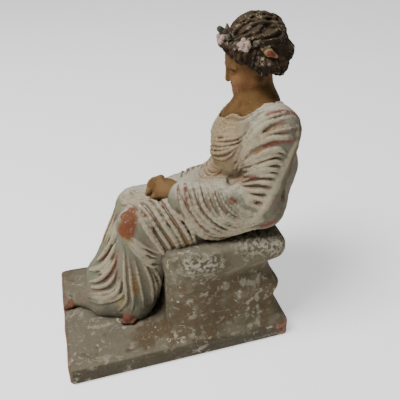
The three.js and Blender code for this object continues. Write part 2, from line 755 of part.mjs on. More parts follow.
// Worn upright relief on the seat's long sides, fading out at the rolls
function reliefAt(along, height) {
  const band = Math.sin(Math.PI * THREE.MathUtils.clamp((height / SEAT_HEIGHT - 0.1) / 0.52, 0, 1));
  return RELIEF_DEPTH * band * Math.cos(2 * Math.PI * RELIEF_COUNT * along);
}

function seat() {
  const inset = mouldingInset();
  const rings = inset.getSpacedPoints(SEAT_LEVELS).map(({ x, y }) => {
    const left = seatBack - SEAT_LENGTH + x;
    const right = seatBack - x;
    const half = SLAB_WIDTH / 2 - SEAT_MARGIN - x;
    const corner = SEAT_CORNER;
    const ring = [];
    const longSide = (from, to, offset, sign) => {
      for (let n = 0; n < LONG_SIDE_STEPS; n++) {
        const along = (n + 0.5) / LONG_SIDE_STEPS;
        ring.push(new THREE.Vector3(from + (to - from) * along, offset + sign * reliefAt(along, y), SLAB_THICKNESS + y));
      }
    };
    const shortSide = (from, to, offset) => {
      for (let n = 1; n < SHORT_SIDE_STEPS; n++) {
        ring.push(new THREE.Vector3(offset, from + ((to - from) * n) / SHORT_SIDE_STEPS, SLAB_THICKNESS + y));
      }
    };
    const bend = (cx, cy, start) => {
      for (let n = 0; n <= CORNER_STEPS; n++) {
        const angle = start + (n / CORNER_STEPS) * (Math.PI / 2);
        ring.push(new THREE.Vector3(cx + corner * Math.cos(angle), cy + corner * Math.sin(angle), SLAB_THICKNESS + y));
      }
    };
    longSide(left + corner, right - corner, -half, -1);
    bend(right - corner, -half + corner, -Math.PI / 2);
    shortSide(-half + corner, half - corner, right);
    bend(right - corner, half - corner, 0);
    longSide(right - corner, left + corner, half, 1);
    bend(left + corner, half - corner, Math.PI / 2);
    shortSide(half - corner, -half + corner, left);
    bend(left + corner, -half + corner, Math.PI);
    return ring;
  });
  return loft(rings);
}

// A closed skin over rings that all have the same number of points, from the lowest to the highest
function loft(rings) {
  const count = rings[0].length;
  const points = rings.flat();
  const faces = [];
  for (let level = 0; level < rings.length - 1; level++)
    for (let n = 0; n < count; n++) {
      const a = level * count + n;
      const b = level * count + ((n + 1) % count);
      faces.push(a, b, b + count, a, b + count, a + count);
    }
  const cap = (ring, first, turned) => {
    const middle = ring.reduce((sum, p) => sum.add(p), new THREE.Vector3()).divideScalar(count);
    points.push(middle);
    for (let n = 0; n < count; n++) {
      const a = first + n;
      const b = first + ((n + 1) % count);
      faces.push(...(turned ? [points.length - 1, b, a] : [points.length - 1, a, b]));
    }
  };
  cap(rings[0], 0, true);
  cap(rings[rings.length - 1], (rings.length - 1) * count, false);
  const geometry = new THREE.BufferGeometry();
  geometry.setAttribute("position", new THREE.Float32BufferAttribute(points.flatMap((p) => p.toArray()), 3));
  geometry.setIndex(faces);
  return geometry;
}

function solid(geometry) {
  for (const name of Object.keys(geometry.attributes)) if (name !== "position") geometry.deleteAttribute(name);
  const merged = mergeVertices(geometry, 1e-3);
  return new wasm.Manifold(new wasm.Mesh({
    numProp: 3,
    vertProperties: merged.attributes.position.array,
    triVerts: new Uint32Array(merged.index.array),
  }));
}

// Keeps the outer skin only, so that no void is left between the lady and her seat
function outerSkin(positions, triangles) {
  const parent = Array.from({ length: positions.length / 3 }, (_, n) => n);
  const root = (n) => {
    while (parent[n] !== n) n = parent[n] = parent[parent[n]];
    return n;
  };
  for (let t = 0; t < triangles.length; t += 3) {
    parent[root(triangles[t + 1])] = root(triangles[t]);
    parent[root(triangles[t + 2])] = root(triangles[t]);
  }
  const volumes = new Map();
  const corner = (n) => new THREE.Vector3().fromArray(positions, 3 * n);
  for (let t = 0; t < triangles.length; t += 3) {
    const [a, b, c] = [0, 1, 2].map((n) => corner(triangles[t + n]));
    const shell = root(triangles[t]);
    volumes.set(shell, (volumes.get(shell) ?? 0) + a.dot(b.cross(c)) / 6);
  }
  const [outer] = [...volumes].sort((a, b) => b[1] - a[1])[0];
  const kept = [];
  for (let t = 0; t < triangles.length; t += 3) {
    if (root(triangles[t]) === outer) kept.push(triangles[t], triangles[t + 1], triangles[t + 2]);
  }
  return kept;
}

function figurine() {
  const joined = solid(slab()).add(solid(seat())).add(solid(lady()));
  const { vertProperties, triVerts, numProp } = joined.getMesh();
  const positions = new Float32Array((vertProperties.length / numProp) * 3);
  for (let n = 0; n < positions.length / 3; n++) {
    positions.set(vertProperties.subarray(n * numProp, n * numProp + 3), n * 3);
  }
  const geometry = new THREE.BufferGeometry();
  geometry.setAttribute("position", new THREE.BufferAttribute(positions, 3));
  geometry.setIndex(outerSkin(positions, triVerts));
  geometry.computeVertexNormals();
  return geometry;
}

const group = new THREE.Group();
const mesh = new THREE.Mesh(figurine(), TERRACOTTA);
mesh.name = "seated_lady_figurine";
group.add(mesh);

export default group;
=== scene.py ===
"""Looks of a painted terracotta figurine: a draped lady on a block seat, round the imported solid."""
import math

import bpy
import numpy as np
from mathutils import Matrix, Vector


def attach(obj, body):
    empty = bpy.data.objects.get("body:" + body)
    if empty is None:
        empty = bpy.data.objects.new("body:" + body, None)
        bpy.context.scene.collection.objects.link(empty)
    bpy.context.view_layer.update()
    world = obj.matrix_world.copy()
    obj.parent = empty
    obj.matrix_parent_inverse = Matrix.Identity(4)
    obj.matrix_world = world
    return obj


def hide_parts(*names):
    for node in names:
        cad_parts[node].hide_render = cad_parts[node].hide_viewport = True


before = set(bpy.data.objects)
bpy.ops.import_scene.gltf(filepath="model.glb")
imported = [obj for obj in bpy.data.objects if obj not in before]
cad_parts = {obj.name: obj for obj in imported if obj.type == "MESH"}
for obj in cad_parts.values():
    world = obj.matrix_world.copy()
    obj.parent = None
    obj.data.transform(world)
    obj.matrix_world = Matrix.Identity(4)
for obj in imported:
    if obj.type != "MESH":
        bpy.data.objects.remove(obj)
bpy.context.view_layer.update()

# Sizes in millimetres, in the part's frame. The lady is drawn above the slab and stands on it
SLAB_LENGTH = 145
SLAB_WIDTH = 98
SLAB_THICKNESS = 13
SLAB_EDGE = 1.6
SEAT_LENGTH = 82
SEAT_HEIGHT = 67
SEAT_MARGIN = 0.6
SEAT_CORNER = 7
SEAT_FRONT_CORNER = 16
ROLL_DEPTH = 7.5
SECOND_ROLL_DEPTH = 2.6
NECK_INSET = 9.8
FOOT_FLARE = 6.2
DRAWN_SHIFT = np.array([-0.1, 0, SLAB_THICKNESS])

# Grid steps of the pieces, and how far from a form its distances are worked out
CLOTH_CELL = 0.6
SKIN_CELL = 0.45
HAIR_CELL = 0.45
WREATH_CELL = 0.36
STONE_CELL = 1.0
REACH = 8.0
STROKE_REACH = 3.0
VALLEY_REACH = 2.0
CLOTH_TRIANGLES = 190000

# Bumps of the worn surfaces: depth and size in millimetres, and a seed
CLOTH_BUMPS = ((0.3, 7, 11), (0.16, 2.6, 12))
HAIR_BUMPS = ((0.55, 3.4, 21), (0.4, 1.7, 22))
STONE_BUMPS = ((0.35, 14, 3), (0.22, 6, 4), (0.12, 3, 5))

# The lady's two sides along Y
NEAR = -1
FAR = 1

rng = np.random.default_rng(7)


# Forms: each is a low corner, a high corner and a distance that is negative inside

def drawn(point):
    return np.array(point, float) + DRAWN_SHIFT


def round_cone(start, end, start_radius, end_radius):
    start = np.array(start, float)
    end = np.array(end, float)
    axis = end - start
    length = float(axis @ axis) or 1.0
    widest = max(start_radius, end_radius)

    def distance(x, y, z):
        x = x - start[0]
        y = y - start[1]
        z = z - start[2]
        along = np.clip((x * axis[0] + y * axis[1] + z * axis[2]) / length, 0, 1)
        x = x - along * axis[0]
        y = y - along * axis[1]
        z = z - along * axis[2]
        return np.sqrt(x * x + y * y + z * z) - (start_radius + along * (end_radius - start_radius))

    return np.minimum(start, end) - widest, np.maximum(start, end) + widest, distance


def ellipsoid(centre, radii, turn=np.eye(3)):
    centre = np.array(centre, float)
    radii = np.array(radii, float)

    def distance(x, y, z):
        x = x - centre[0]
        y = y - centre[1]
        z = z - centre[2]
        local = [turn[0, n] * x + turn[1, n] * y + turn[2, n] * z for n in range(3)]
        first = np.sqrt(sum((part / r) ** 2 for part, r in zip(local, radii)))
        second = np.sqrt(sum((part / r ** 2) ** 2 for part, r in zip(local, radii)))
        return first * (first - 1) / np.maximum(second, 1e-6)

    return centre - radii.max(), centre + radii.max(), distance


def smooth_min(a, b, blend):
    overlap = np.maximum(blend - np.abs(a - b), 0) / blend
    return np.minimum(a, b) - overlap * overlap * blend / 4


class Clay:
    """A grid of signed distances that forms are pressed into or carved out of."""

    def __init__(self, low, high, cell):
        self.low = np.array(low, float)
        self.cell = cell
        self.size = np.ceil((np.array(high, float) - self.low) / cell).astype(int) + 1
        self.field = np.full(self.size, REACH, np.float32)

    def window(self, low, high, reach):
        first = np.maximum(np.ceil((low - reach - self.low) / self.cell), 0).astype(int)
        last = np.minimum(np.floor((high + reach - self.low) / self.cell) + 1, self.size).astype(int)
        if (last <= first).any():
            return None, None
        spans = tuple(slice(a, b) for a, b in zip(first, last))
        axes = [
            (np.arange(a, b) * self.cell + low_end).astype(np.float32)
            for a, b, low_end in zip(first, last, self.low)
        ]
        grid = (axes[0][:, None, None], axes[1][None, :, None], axes[2][None, None, :])
        return spans, grid

    def press(self, form, blend, reach=REACH):
        spans, grid = self.window(form[0], form[1], reach)
        if spans:
            self.field[spans] = smooth_min(self.field[spans], form[2](*grid), blend)

    def carve(self, form, blend, reach=REACH):
        spans, grid = self.window(form[0], form[1], reach)
        if spans:
            self.field[spans] = -smooth_min(-self.field[spans], form[2](*grid), blend)

    def grid(self):
        return self.window(self.low, self.low + self.size * self.cell, 0)[1]

    def close(self):
        for axis in range(3):
            edge = np.moveaxis(self.field, axis, 0)
            edge[0] = self.cell
            edge[-1] = self.cell

    def at(self, points):
        return sample(self, self.field, points)

    def slope(self, points):
        steps = np.eye(3) * self.cell * 0.5
        return np.stack([(self.at(points + s) - self.at(points - s)) / self.cell for s in steps], axis=1)

    def outward(self, points):
        """The way out of the clay, with a length of 1."""
        slope = self.slope(points)
        return slope / np.maximum(np.linalg.norm(slope, axis=1), 1e-6)[:, None]

    def settle(self, points, passes=6):
        """Slides places near the surface onto it, by two millimetres at most in a pass."""
        points = np.array(points, float)
        for _ in range(passes):
            points -= self.outward(points) * np.clip(self.at(points), -2, 2)[:, None]
        return points


def sample(clay, field, points):
    spot = (np.asarray(points) - clay.low) / clay.cell
    cell = np.clip(np.floor(spot).astype(int), 0, clay.size - 2)
    part = np.clip(spot - cell, 0, 1)
    total = np.zeros(len(spot))
    for corner in range(8):
        bit = np.array([corner & 1, corner >> 1 & 1, corner >> 2])
        weight = np.prod(np.where(bit, part, 1 - part), axis=1)
        node = cell + bit
        total += weight * field[node[:, 0], node[:, 1], node[:, 2]]
    return total


# A cell's edges as pairs of its corners, and the passes that slide the skin's points onto the surface
SLIDE_PASSES = 3
SLIDE_STEP = 0.4
LEAST_SLOPE = 0.05
EDGES = [
    (a, b)
    for a in range(8)
    for b in range(a + 1, 8)
    if (a ^ b) in (1, 2, 4)
]


def skin_of(clay):
    """The surface of the clay as points and quads: one point in each cell that the surface passes."""
    field = clay.field
    inside = field < 0
    cells = clay.size - 1
    count = np.zeros(cells, np.uint8)
    bits = [(n & 1, n >> 1 & 1, n >> 2) for n in range(8)]
    for x, y, z in bits:
        count += inside[x:x + cells[0], y:y + cells[1], z:z + cells[2]]
    mixed = (count > 0) & (count < 8)
    number = np.full(cells, -1, np.int32)
    number[mixed] = np.arange(mixed.sum())
    where = np.argwhere(mixed)
    corner = [field[where[:, 0] + x, where[:, 1] + y, where[:, 2] + z] for x, y, z in bits]
    total = np.zeros((len(where), 3))
    crossings = np.zeros(len(where))
    for a, b in EDGES:
        cross = (corner[a] < 0) != (corner[b] < 0)
        part = np.where(cross, corner[a] / np.where(cross, corner[a] - corner[b], 1), 0)
        spot = np.array(bits[a]) + part[:, None] * (np.array(bits[b]) - np.array(bits[a]))
        total += spot * cross[:, None]
        crossings += cross
    points = clay.low + (where + total / crossings[:, None]) * clay.cell
    quads = []
    for axis in range(3):
        u, v = (axis + 1) % 3, (axis + 2) % 3
        near = [slice(1, -1)] * 3
        near[axis] = slice(0, -1)
        far = [slice(1, -1)] * 3
        far[axis] = slice(1, None)
        first, second = inside[tuple(near)], inside[tuple(far)]
        for out, turned in ((first & ~second, False), (~first & second, True)):
            node = np.argwhere(out)
            node[:, u] += 1
            node[:, v] += 1
            ring = []
            for du, dv in ((-1, -1), (0, -1), (0, 0), (-1, 0)):
                cell = node.copy()
                cell[:, u] += du
                cell[:, v] += dv
                ring.append(number[cell[:, 0], cell[:, 1], cell[:, 2]])
            quads.append(np.stack(ring[::-1] if turned else ring, axis=1))
    longest = SLIDE_STEP * clay.cell
    for _ in range(SLIDE_PASSES):
        slope = clay.slope(points)
        size = np.maximum((slope ** 2).sum(1), LEAST_SLOPE)[:, None]
        points -= np.clip(slope / size * clay.at(points)[:, None], -longest, longest)
    return points, np.concatenate(quads)


def noise_field(clay, scale, seed):
    """Smooth random bumps between -1 and 1 over the clay's grid."""
    source = np.random.default_rng(seed)
    count = np.ceil(clay.size * clay.cell / scale).astype(int) + 3
    knots = source.uniform(-1, 1, count)
    for axis in range(3):
        spot = np.arange(clay.size[axis]) * clay.cell / scale
        at = spot.astype(int)
        t = spot - at
        t = t * t * (3 - 2 * t)
        shape = [1, 1, 1]
        shape[axis] = -1
        t = t.reshape(shape)
        knots = np.take(knots, at, axis) * (1 - t) + np.take(knots, at + 1, axis) * t
    return knots.astype(np.float32)


def bumps(clay, layers):
    return sum(depth * noise_field(clay, size, seed) for depth, size, seed in layers)


# The lady's body

def limb(clay, start, end, start_radius, end_radius, blend):
    clay.press(round_cone(drawn(start), drawn(end), start_radius, end_radius), blend)


def lump(clay, centre, radii, blend):
    clay.press(ellipsoid(drawn(centre), radii), blend)


def trunk(clay):
    lump(clay, [53, 0, 80], [24, 30, 17], 8)
    lump(clay, [51.5, -2, 93], [19, 20, 18], 8)
    lump(clay, [57.5, 0, 116], [18, 25, 22], 9)
    lump(clay, [41.5, -10.5, 114.8], [10, 10, 10], 6)
    lump(clay, [47.5, 9, 114], [9, 9.5, 9.5], 6)
    lump(clay, [43, -14, 104], [9.5, 10, 11], 6)
    lump(clay, [33, -10, 92], [11, 14, 9], 6)
    limb(clay, [60, -10, 131], [63, -26, 130], 12, 12.5, 9)
    limb(clay, [65.5, 8, 127], [72, 22, 120], 10, 10.5, 8)
    for side in (NEAR, FAR):
        limb(clay, [66, side * 23, 124], [68.5, side * 22, 104], 10.5, 10.5, 8)
        limb(clay, [68.5, side * 22, 104], [66, side * 22, 78], 10.5, 10, 8)
    limb(clay, [67, 0, 130], [68, 0, 104], 10, 11, 10)
    limb(clay, [68, 0, 104], [66, 0, 78], 11, 11, 10)


def neck(clay):
    limb(clay, [61, 0, 129], [62, 0, 138], 13, 12, 8)
    limb(clay, [62.5, 0, 138], [62.5, 1, 156], 11, 9, 3)


# The near sleeve's blend into the body: little over the lap, more above the height where the shoulder starts
SLEEVE_BLEND = 2.2
SHOULDER_BLEND = 5.8
SHOULDER_FROM = 100
SHOULDER_RISE = 14


def near_sleeve(clay):
    """The near arm in its hanging sleeve: it melts into the shoulder, but stands off the lap."""
    sleeve = Clay(clay.low, clay.low + (clay.size - 1) * clay.cell, clay.cell)
    limb(sleeve, [63, -27, 130], [56, -31, 84], 13, 12.5, 7)
    limb(sleeve, [56, -31, 84], [34, -28, 90], 12.5, 11.5, 7)
    limb(sleeve, [34, -28, 90], [12, -23, 92.5], 11.5, 10.8, 6)
    lump(sleeve, [35, -28.5, 80], [24, 11.5, 14], 7)
    height = clay.grid()[2] - SLAB_THICKNESS
    blend = SLEEVE_BLEND + SHOULDER_BLEND * np.clip((height - SHOULDER_FROM) / SHOULDER_RISE, 0, 1)
    clay.field = smooth_min(clay.field, sleeve.field, blend).astype(np.float32)


def arms(clay):
    near_sleeve(clay)
    limb(clay, [72, 23, 119], [61, 27, 80], 10.5, 10, 7)
    limb(clay, [61, 27, 80], [28, 12, 75], 10, 8, 6)
    limb(clay, [28, 12, 75], [8, -1, 83.5], 8, 6, 4)
    lump(clay, [44, 26, 71], [22, 11, 10], 6)


def legs(clay):
    limb(clay, [52, -17, 80], [-17, -20, 76.5], 16, 12, 8)
    limb(clay, [52, 17, 77], [-14, 15.5, 69], 14, 11, 7)
    limb(clay, [40, 0, 80], [-11, -2, 71], 15, 11, 10)
    limb(clay, [30, -25, 73], [-5, -25, 68], 11, 9.5, 6)
    limb(clay, [30, 25, 71], [-5, 22, 64], 10, 9, 6)
    limb(clay, [-17, -20, 76], [-21, -9, 10], 11.5, 10, 6)
    limb(clay, [-5, -22, 64], [-17, -9, 8], 8.5, 7.5, 6)
    limb(clay, [-14, 15.5, 69], [-41, 13, 20], 11, 9.5, 6)
    limb(clay, [-41, 13, 20], [-46, 9, 2], 10, 9.5, 6)
    limb(clay, [-13, -2, 64], [-36, 3, 8], 11, 12, 10)
    limb(clay, [-3, 14, 60], [-20, 12, 6], 10, 11.5, 8)
    limb(clay, [-59, 9.5, 4.5], [-43, -2, 4.5], 5.8, 7, 6)
    lump(clay, [-22.5, -24, 81], [7.5, 7, 8], 2.5)
    limb(clay, [-43, -2, 4.5], [-24, -12, 4.5], 7, 8, 6)


# The neckline, seen from above: how far the cloth's edge lies from the neck's middle, all the way round
NECKLINE_MIDDLE = (60, -4)
NECKLINE_REACH = (17, 17, 17.5, 20, 24, 19.5, 15.5, 15.2, 18.5, 22.2, 18, 15.5)
CLOTH_STEP = 1.1
SKIN_SINK = 3.0
NECKLINE_EDGE = 1.6
NECKLINE_FROM = 116
NECKLINE_RISE = 4
COLLAR_OUT = 0.8
COLLAR_PLACES = 49
COLLAR_RADIUS = 0.9
COLLAR_BLEND = 0.8
OVERHEAD = 165.0


def neckline_reach(turn):
    """The reach at a turn, given as a share of the whole way round."""
    count = len(NECKLINE_REACH)
    rounds = 2 * np.pi * np.arange(count) / count
    reach = np.mean(NECKLINE_REACH)
    for wave in range(1, 4):
        for side in (np.cos, np.sin):
            share = 2 / count * np.dot(NECKLINE_REACH, side(wave * rounds))
            reach = reach + share * side(2 * np.pi * wave * turn)
    return reach


def skin_share(x, y, z):
    """1 where the skin shows inside the neckline and 0 where cloth covers it."""
    across = x - drawn([NECKLINE_MIDDLE[0], 0, 0])[0]
    over = y - NECKLINE_MIDDLE[1]
    reach = neckline_reach(np.arctan2(over, across) / (2 * np.pi))
    high = np.clip((z - NECKLINE_FROM - SLAB_THICKNESS) / NECKLINE_RISE, 0, 1)
    return np.clip((reach - np.hypot(across, over)) / NECKLINE_EDGE + 0.5, 0, 1) * high


def neckline(clay):
    """The neckline as a ring of places on the form, found by coming down on it from overhead."""
    turns = np.linspace(0, 1, COLLAR_PLACES)
    reach = neckline_reach(turns) + COLLAR_OUT
    ring = np.stack([
        drawn([NECKLINE_MIDDLE[0], 0, 0])[0] + reach * np.cos(2 * np.pi * turns),
        NECKLINE_MIDDLE[1] + reach * np.sin(2 * np.pi * turns),
        np.full(len(turns), OVERHEAD),
    ], axis=1)
    for _ in range(60):
        ring[:, 2] -= np.clip(clay.at(ring), 0, 1.5) * 0.8
    for _ in range(4):
        ring[:-1] = (np.roll(ring[:-1], 1, axis=0) + ring[:-1] + np.roll(ring[:-1], -1, axis=0)) / 3
        ring[-1] = ring[0]
    return clay.settle(ring, 2)


# Folds of cloth: round strokes that lie on the form, tapering at both ends
STROKE_STEPS = 18
STROKE_BLEND = 1.2
FOLD_BLEND = 0.9
FOLD_SWAY = 0.8
FORK_SHARE = 0.4
FORK_WIDTH = 0.6

# Shares of a fold's line where it starts and ends, and of its family's radius
FOLD_START = (0, 0.14)
FOLD_END = (0.86, 1)
FOLD_RADIUS = (0.7, 1.2)

# Valleys between folds: shares of the gap, and bounds in millimetres
VALLEY_WIDTH = 0.46
VALLEY_RADII = (0.4, 3.2)
VALLEY_DEPTH = 0.155
SHALLOW_DEPTH = 0.11
DEEPEST_VALLEY = 1.7
VALLEY_TAPER = 0.75
VALLEY_BLEND = 0.8
SHALLOW_FAMILIES = ("waist tucks", "far swags", "shin falls", "far knee falls", "hem sweeps")


def curve(points, steps=STROKE_STEPS):
    """A smooth line through the points."""
    points = np.array(points, float)
    ends = np.vstack([2 * points[0] - points[1], points, 2 * points[-1] - points[-2]])
    spot = np.linspace(0, len(points) - 1, steps + 1)
    at = np.minimum(spot.astype(int), len(points) - 2)
    t = (spot - at)[:, None]
    a, b, c, d = (ends[at + n] for n in range(4))
    return b + t / 2 * (c - a + t * (2 * a - 5 * b + 4 * c - d + t * (3 * b - a - 3 * c + d)))


def trace(clay, points, steps=STROKE_STEPS):
    spots = clay.settle(curve(points, steps))
    for _ in range(3):
        eased = spots.copy()
        eased[1:-1] = (spots[:-2] + spots[1:-1] + spots[2:]) / 3
        spots = clay.settle(eased, 3)
    return spots


def laid(clay, path):
    """A drawn path as a line on the form."""
    return trace(clay, np.array(path) + DRAWN_SHIFT)


def widths(count, radius, sharp=0.5):
    part = (np.arange(count) + 0.4) / (count - 1 + 0.8)
    return radius * np.sin(np.pi * part) ** sharp


def chain(spots, radii):
    """Round cones from place to place."""
    return [round_cone(a, b, r, s) for a, b, r, s in zip(spots, spots[1:], radii, radii[1:])]


def stroke(clay, spots, radius, blend=STROKE_BLEND, sink=0.0):
    wide = widths(len(spots), radius)
    if sink:
        spots = spots - clay.outward(spots) * sink * wide[:, None]
    for form in chain(spots, wide):
        clay.press(form, blend, STROKE_REACH)


def groove(clay, spots, radius, blend=STROKE_BLEND):
    for form in chain(spots, widths(len(spots), radius)):
        clay.carve(form, blend, STROKE_REACH)


def valley(clay, left, right, depth_share):
    """A hollow channel between two folds, as wide as their gap allows."""
    gap = np.linalg.norm(left - right, axis=1)
    spots = clay.settle((left + right) / 2, 3)
    taper = widths(len(spots), 1, VALLEY_TAPER)
    radii = np.clip(VALLEY_WIDTH * gap, *VALLEY_RADII) * taper
    depth = np.minimum(depth_share * gap, DEEPEST_VALLEY) * taper
    return spots + clay.outward(spots) * (radii - depth)[:, None], radii


def family_lines(clay, rails, count):
    """Lines that fill the space between the rails, each with as many points as they have."""
    rails = np.array(rails, float)
    lines = []
    for n in range(count):
        along = n / (count - 1) * (len(rails) - 1) if count > 1 else 0
        rail = max(min(int(along), len(rails) - 2), 0)
        upper = rails[min(rail + 1, len(rails) - 1)]
        line = rails[rail] + (upper - rails[rail]) * (along - rail)
        line += rng.uniform(-FOLD_SWAY, FOLD_SWAY, line.shape)
        lines.append(laid(clay, line))
    return lines


# Each family: how many folds, the radius of the first and the last, and the rails that they run between
FOLDS = {
    "chest swags": (10, 1.05, 0.85, [
        [[50, 15, 128.5], [43, 5, 127.5], [42, -9, 129], [48, -21, 134.5], [57, -28, 142]],
        [[49, 17, 127], [39, 6, 124], [38, -10, 126], [45, -22, 132], [57, -31, 142]],
        [[47, 17, 122], [36, 8, 118], [33, -8, 120], [42, -20, 124], [54, -33, 139]],
        [[45, 18, 110], [38, 9, 107], [34, -12, 111], [39, -19, 113], [45, -21, 120]],
    ]),
    "waist tucks": (5, 0.8, 0.7, [
        [[44, 11, 104], [38, 2, 104], [36, -12, 104], [42, -18, 106]],
        [[43, 10, 93], [32, 2, 94], [26, -12, 97], [32, -18, 103]],
    ]),
    "shoulder bands": (4, 1.9, 1.3, [
        [[42, -19, 107], [45, -21, 118], [49, -30, 132], [54, -33, 140], [68, -33, 141]],
        [[43, -22, 106], [47, -28, 119], [53, -37, 129], [60, -40, 132], [73, -34, 128]],
    ]),
    "sleeve fan": (9, 1.3, 1.0, [
        [[44, -25, 110], [48, -33, 118], [54, -38, 124], [61, -40, 126], [66, -39, 121]],
        [[40, -27, 101], [47, -36, 107], [53, -41, 110], [58, -42, 110], [61, -42, 108]],
        [[37, -32, 97], [42, -38, 94], [46, -42, 92], [50, -43, 90], [52, -43, 87]],
    ]),
    "sleeve swags": (8, 1.4, 1.1, [
        [[8, -23, 103], [8, -33, 93], [14, -37, 81], [27, -39, 71], [42, -41, 70], [54, -43, 76]],
        [[20, -26, 103], [20, -36, 95], [26, -40, 85], [36, -42, 78], [45, -43, 79], [53, -44, 83]],
        [[32, -30, 101], [34, -38, 95], [39, -41, 90], [44, -43, 87], [50, -44, 86], [55, -43, 86]],
    ]),
    "thigh folds": (6, 1.7, 1.3, [
        [[-21, 2, 79], [-21, -12, 86], [-17, -28, 87], [-12, -33, 78], [-7, -34, 69], [-4, -31, 61]],
        [[-15, 10, 80], [-10, -6, 84], [-5, -25, 88], [0, -32, 80], [4, -35, 72], [7, -33, 62]],
        [[-5, 16, 82], [1, 0, 87], [5, -20, 91], [9, -31, 84], [12, -35, 75], [14, -34, 66]],
    ]),
    "lap folds": (6, 1.3, 1.1, [
        [[-27, 12, 77], [-22, 4, 80], [-14, -6, 84], [-6, -13, 87]],
        [[-14, 17, 80], [-8, 7, 82], [-2, -1, 85], [4, -7, 88]],
    ]),
    "knee swags": (5, 1.3, 1.0, [
        [[-24, -29, 80], [-19, -33, 74], [-13, -33, 67], [-6, -32, 65]],
        [[-26, -28, 74], [-21, -31, 62], [-14, -28, 51], [-7, -28, 51]],
    ]),
    "shin falls": (5, 1.5, 1.1, [
        [[-29, -26, 72], [-29, -22, 52], [-29, -18, 36], [-31, -17, 18], [-36, -15, 8]],
        [[-24, -30, 70], [-21, -27, 50], [-20, -24, 34], [-19, -22, 18], [-19, -20, 8]],
        [[-19, -30, 64], [-11, -27, 48], [-7, -23, 34], [-7, -18, 20], [-8, -15, 9]],
    ]),
    "hem sweeps": (7, 1.9, 1.5, [
        [[-28, 4, 66], [-34, 3, 52], [-40, 6, 40], [-46, 12, 32]],
        [[-31, -8, 50], [-36, -4, 34], [-44, 2, 24], [-53, 9, 19]],
        [[-31, -13, 40], [-36, -10, 24], [-45, -4, 16], [-58, 5, 13]],
        [[-30, -17, 34], [-34, -15, 19], [-45, -8, 12], [-59, 4, 9]],
    ]),
    "far knee falls": (5, 1.1, 0.9, [
        [[-27, 15, 70], [-34, 14, 56], [-40, 13, 42]],
        [[-25, 3, 70], [-30, 2, 60], [-34, 2, 50]],
    ]),
    "sleeve hem": (1, 1.6, 1.6, [
        [
            [7, -21, 103], [7, -30, 98], [8, -34, 91], [12, -36, 81],
            [19, -37, 72], [30, -39, 67], [44, -42, 68],
        ],
    ]),
    "back falls": (7, 1.3, 1.3, [
        [[76, -22, 132], [81, -18, 104], [77, -16, 74]],
        [[76, 26, 126], [79, 22, 104], [76, 20, 74]],
    ]),
    "far fan": (9, 1.2, 1.2, [
        [[50, 18, 112], [58, 28, 118], [67, 33, 123], [78, 28, 122]],
        [[50, 27, 88], [57, 34, 87], [66, 36, 86], [77, 28, 83]],
    ]),
    "far swags": (6, 1.1, 1.1, [
        [[14, 5, 87], [22, 20, 76], [36, 34, 68], [58, 37, 70]],
        [[38, 20, 82], [45, 28, 80], [54, 35, 78], [64, 37, 79]],
    ]),
    "far thigh folds": (6, 1.2, 1.2, [
        [[-20, 24, 74], [-14, 27, 66], [-9, 27, 57]],
        [[14, 26, 80], [14, 34, 70], [15, 33, 61]],
    ]),
    "far shin falls": (7, 1.3, 1.3, [
        [[-27, 22, 64], [-36, 22, 44], [-46, 21, 20], [-53, 18, 5]],
        [[-8, 27, 56], [-16, 27, 36], [-22, 26, 18], [-27, 24, 5]],
    ]),
}
# The mantle's broad edge behind the fan, where its folds end, and the channel in the panel behind it
PANEL_EDGE = [
    [71, -36, 134], [68, -40, 122], [62.5, -42.5, 110],
    [56.5, -43, 97], [50.5, -44, 87], [43, -43, 78],
]
PANEL_CHANNEL = [[72, -37, 124], [71, -38, 112], [68, -40, 101], [65, -41, 92]]
# The groove along the sleeve's hem, and the pit at the crook of the near arm
HEM_GROOVE = [[2, -33, 91], [7, -36, 80], [15, -37, 70], [26, -38, 64]]
CROOK_PIT = round_cone(drawn([32.7, -41, 107.5]), drawn([38.4, -26, 101.3]), 3.0, 1.9)


def drapery():
    """The cloth's clay, and the field of the bare body under its folds."""
    clay = Clay(drawn([-70, -50, -4]), drawn([92, 46, 158]), CLOTH_CELL)
    trunk(clay)
    legs(clay)
    arms(clay)
    bare = clay.field.copy()
    folds = []
    valleys = []
    for name, (count, first, last, rails) in FOLDS.items():
        family = family_lines(clay, rails, count)
        depth = SHALLOW_DEPTH if name in SHALLOW_FAMILIES else VALLEY_DEPTH
        for n, spots in enumerate(family):
            start = int(rng.uniform(*FOLD_START) * len(spots))
            end = math.ceil(rng.uniform(*FOLD_END) * len(spots))
            radius = first + (last - first) * n / max(count - 1, 1)
            folds.append((spots[start:end], radius * rng.uniform(*FOLD_RADIUS)))
        for a, b in zip(family, family[1:]):
            valleys.append(valley(clay, a[1:-2], b[1:-2], depth))
            if rng.uniform() < FORK_SHARE:
                start = rng.integers(1, len(a) // 2)
                fork = clay.settle((a + b) / 2, 3)[start:start + len(a) // 2]
                folds.append((fork, first * FORK_WIDTH))
    collar = neckline(clay)
    panel_edge = laid(clay, PANEL_EDGE)
    channel = laid(clay, PANEL_CHANNEL)
    hem = laid(clay, HEM_GROOVE)
    for spots, radii in valleys:
        for form in chain(spots, radii):
            clay.carve(form, VALLEY_BLEND, VALLEY_REACH)
    groove(clay, hem, 1.8)
    groove(clay, channel, 1.3, blend=2)
    stroke(clay, panel_edge, 2.1, blend=2.2, sink=0.75)
    for spots, radius in folds:
        stroke(clay, spots, radius, FOLD_BLEND)
    for form in chain(collar, [COLLAR_RADIUS] * len(collar)):
        clay.press(form, COLLAR_BLEND, STROKE_REACH)
    clay.carve(CROOK_PIT, 2.5)
    clay.field += CLOTH_STEP * skin_share(*clay.grid()).astype(np.float32)
    clay.field += bumps(clay, CLOTH_BUMPS)
    clay.close()
    return clay, bare


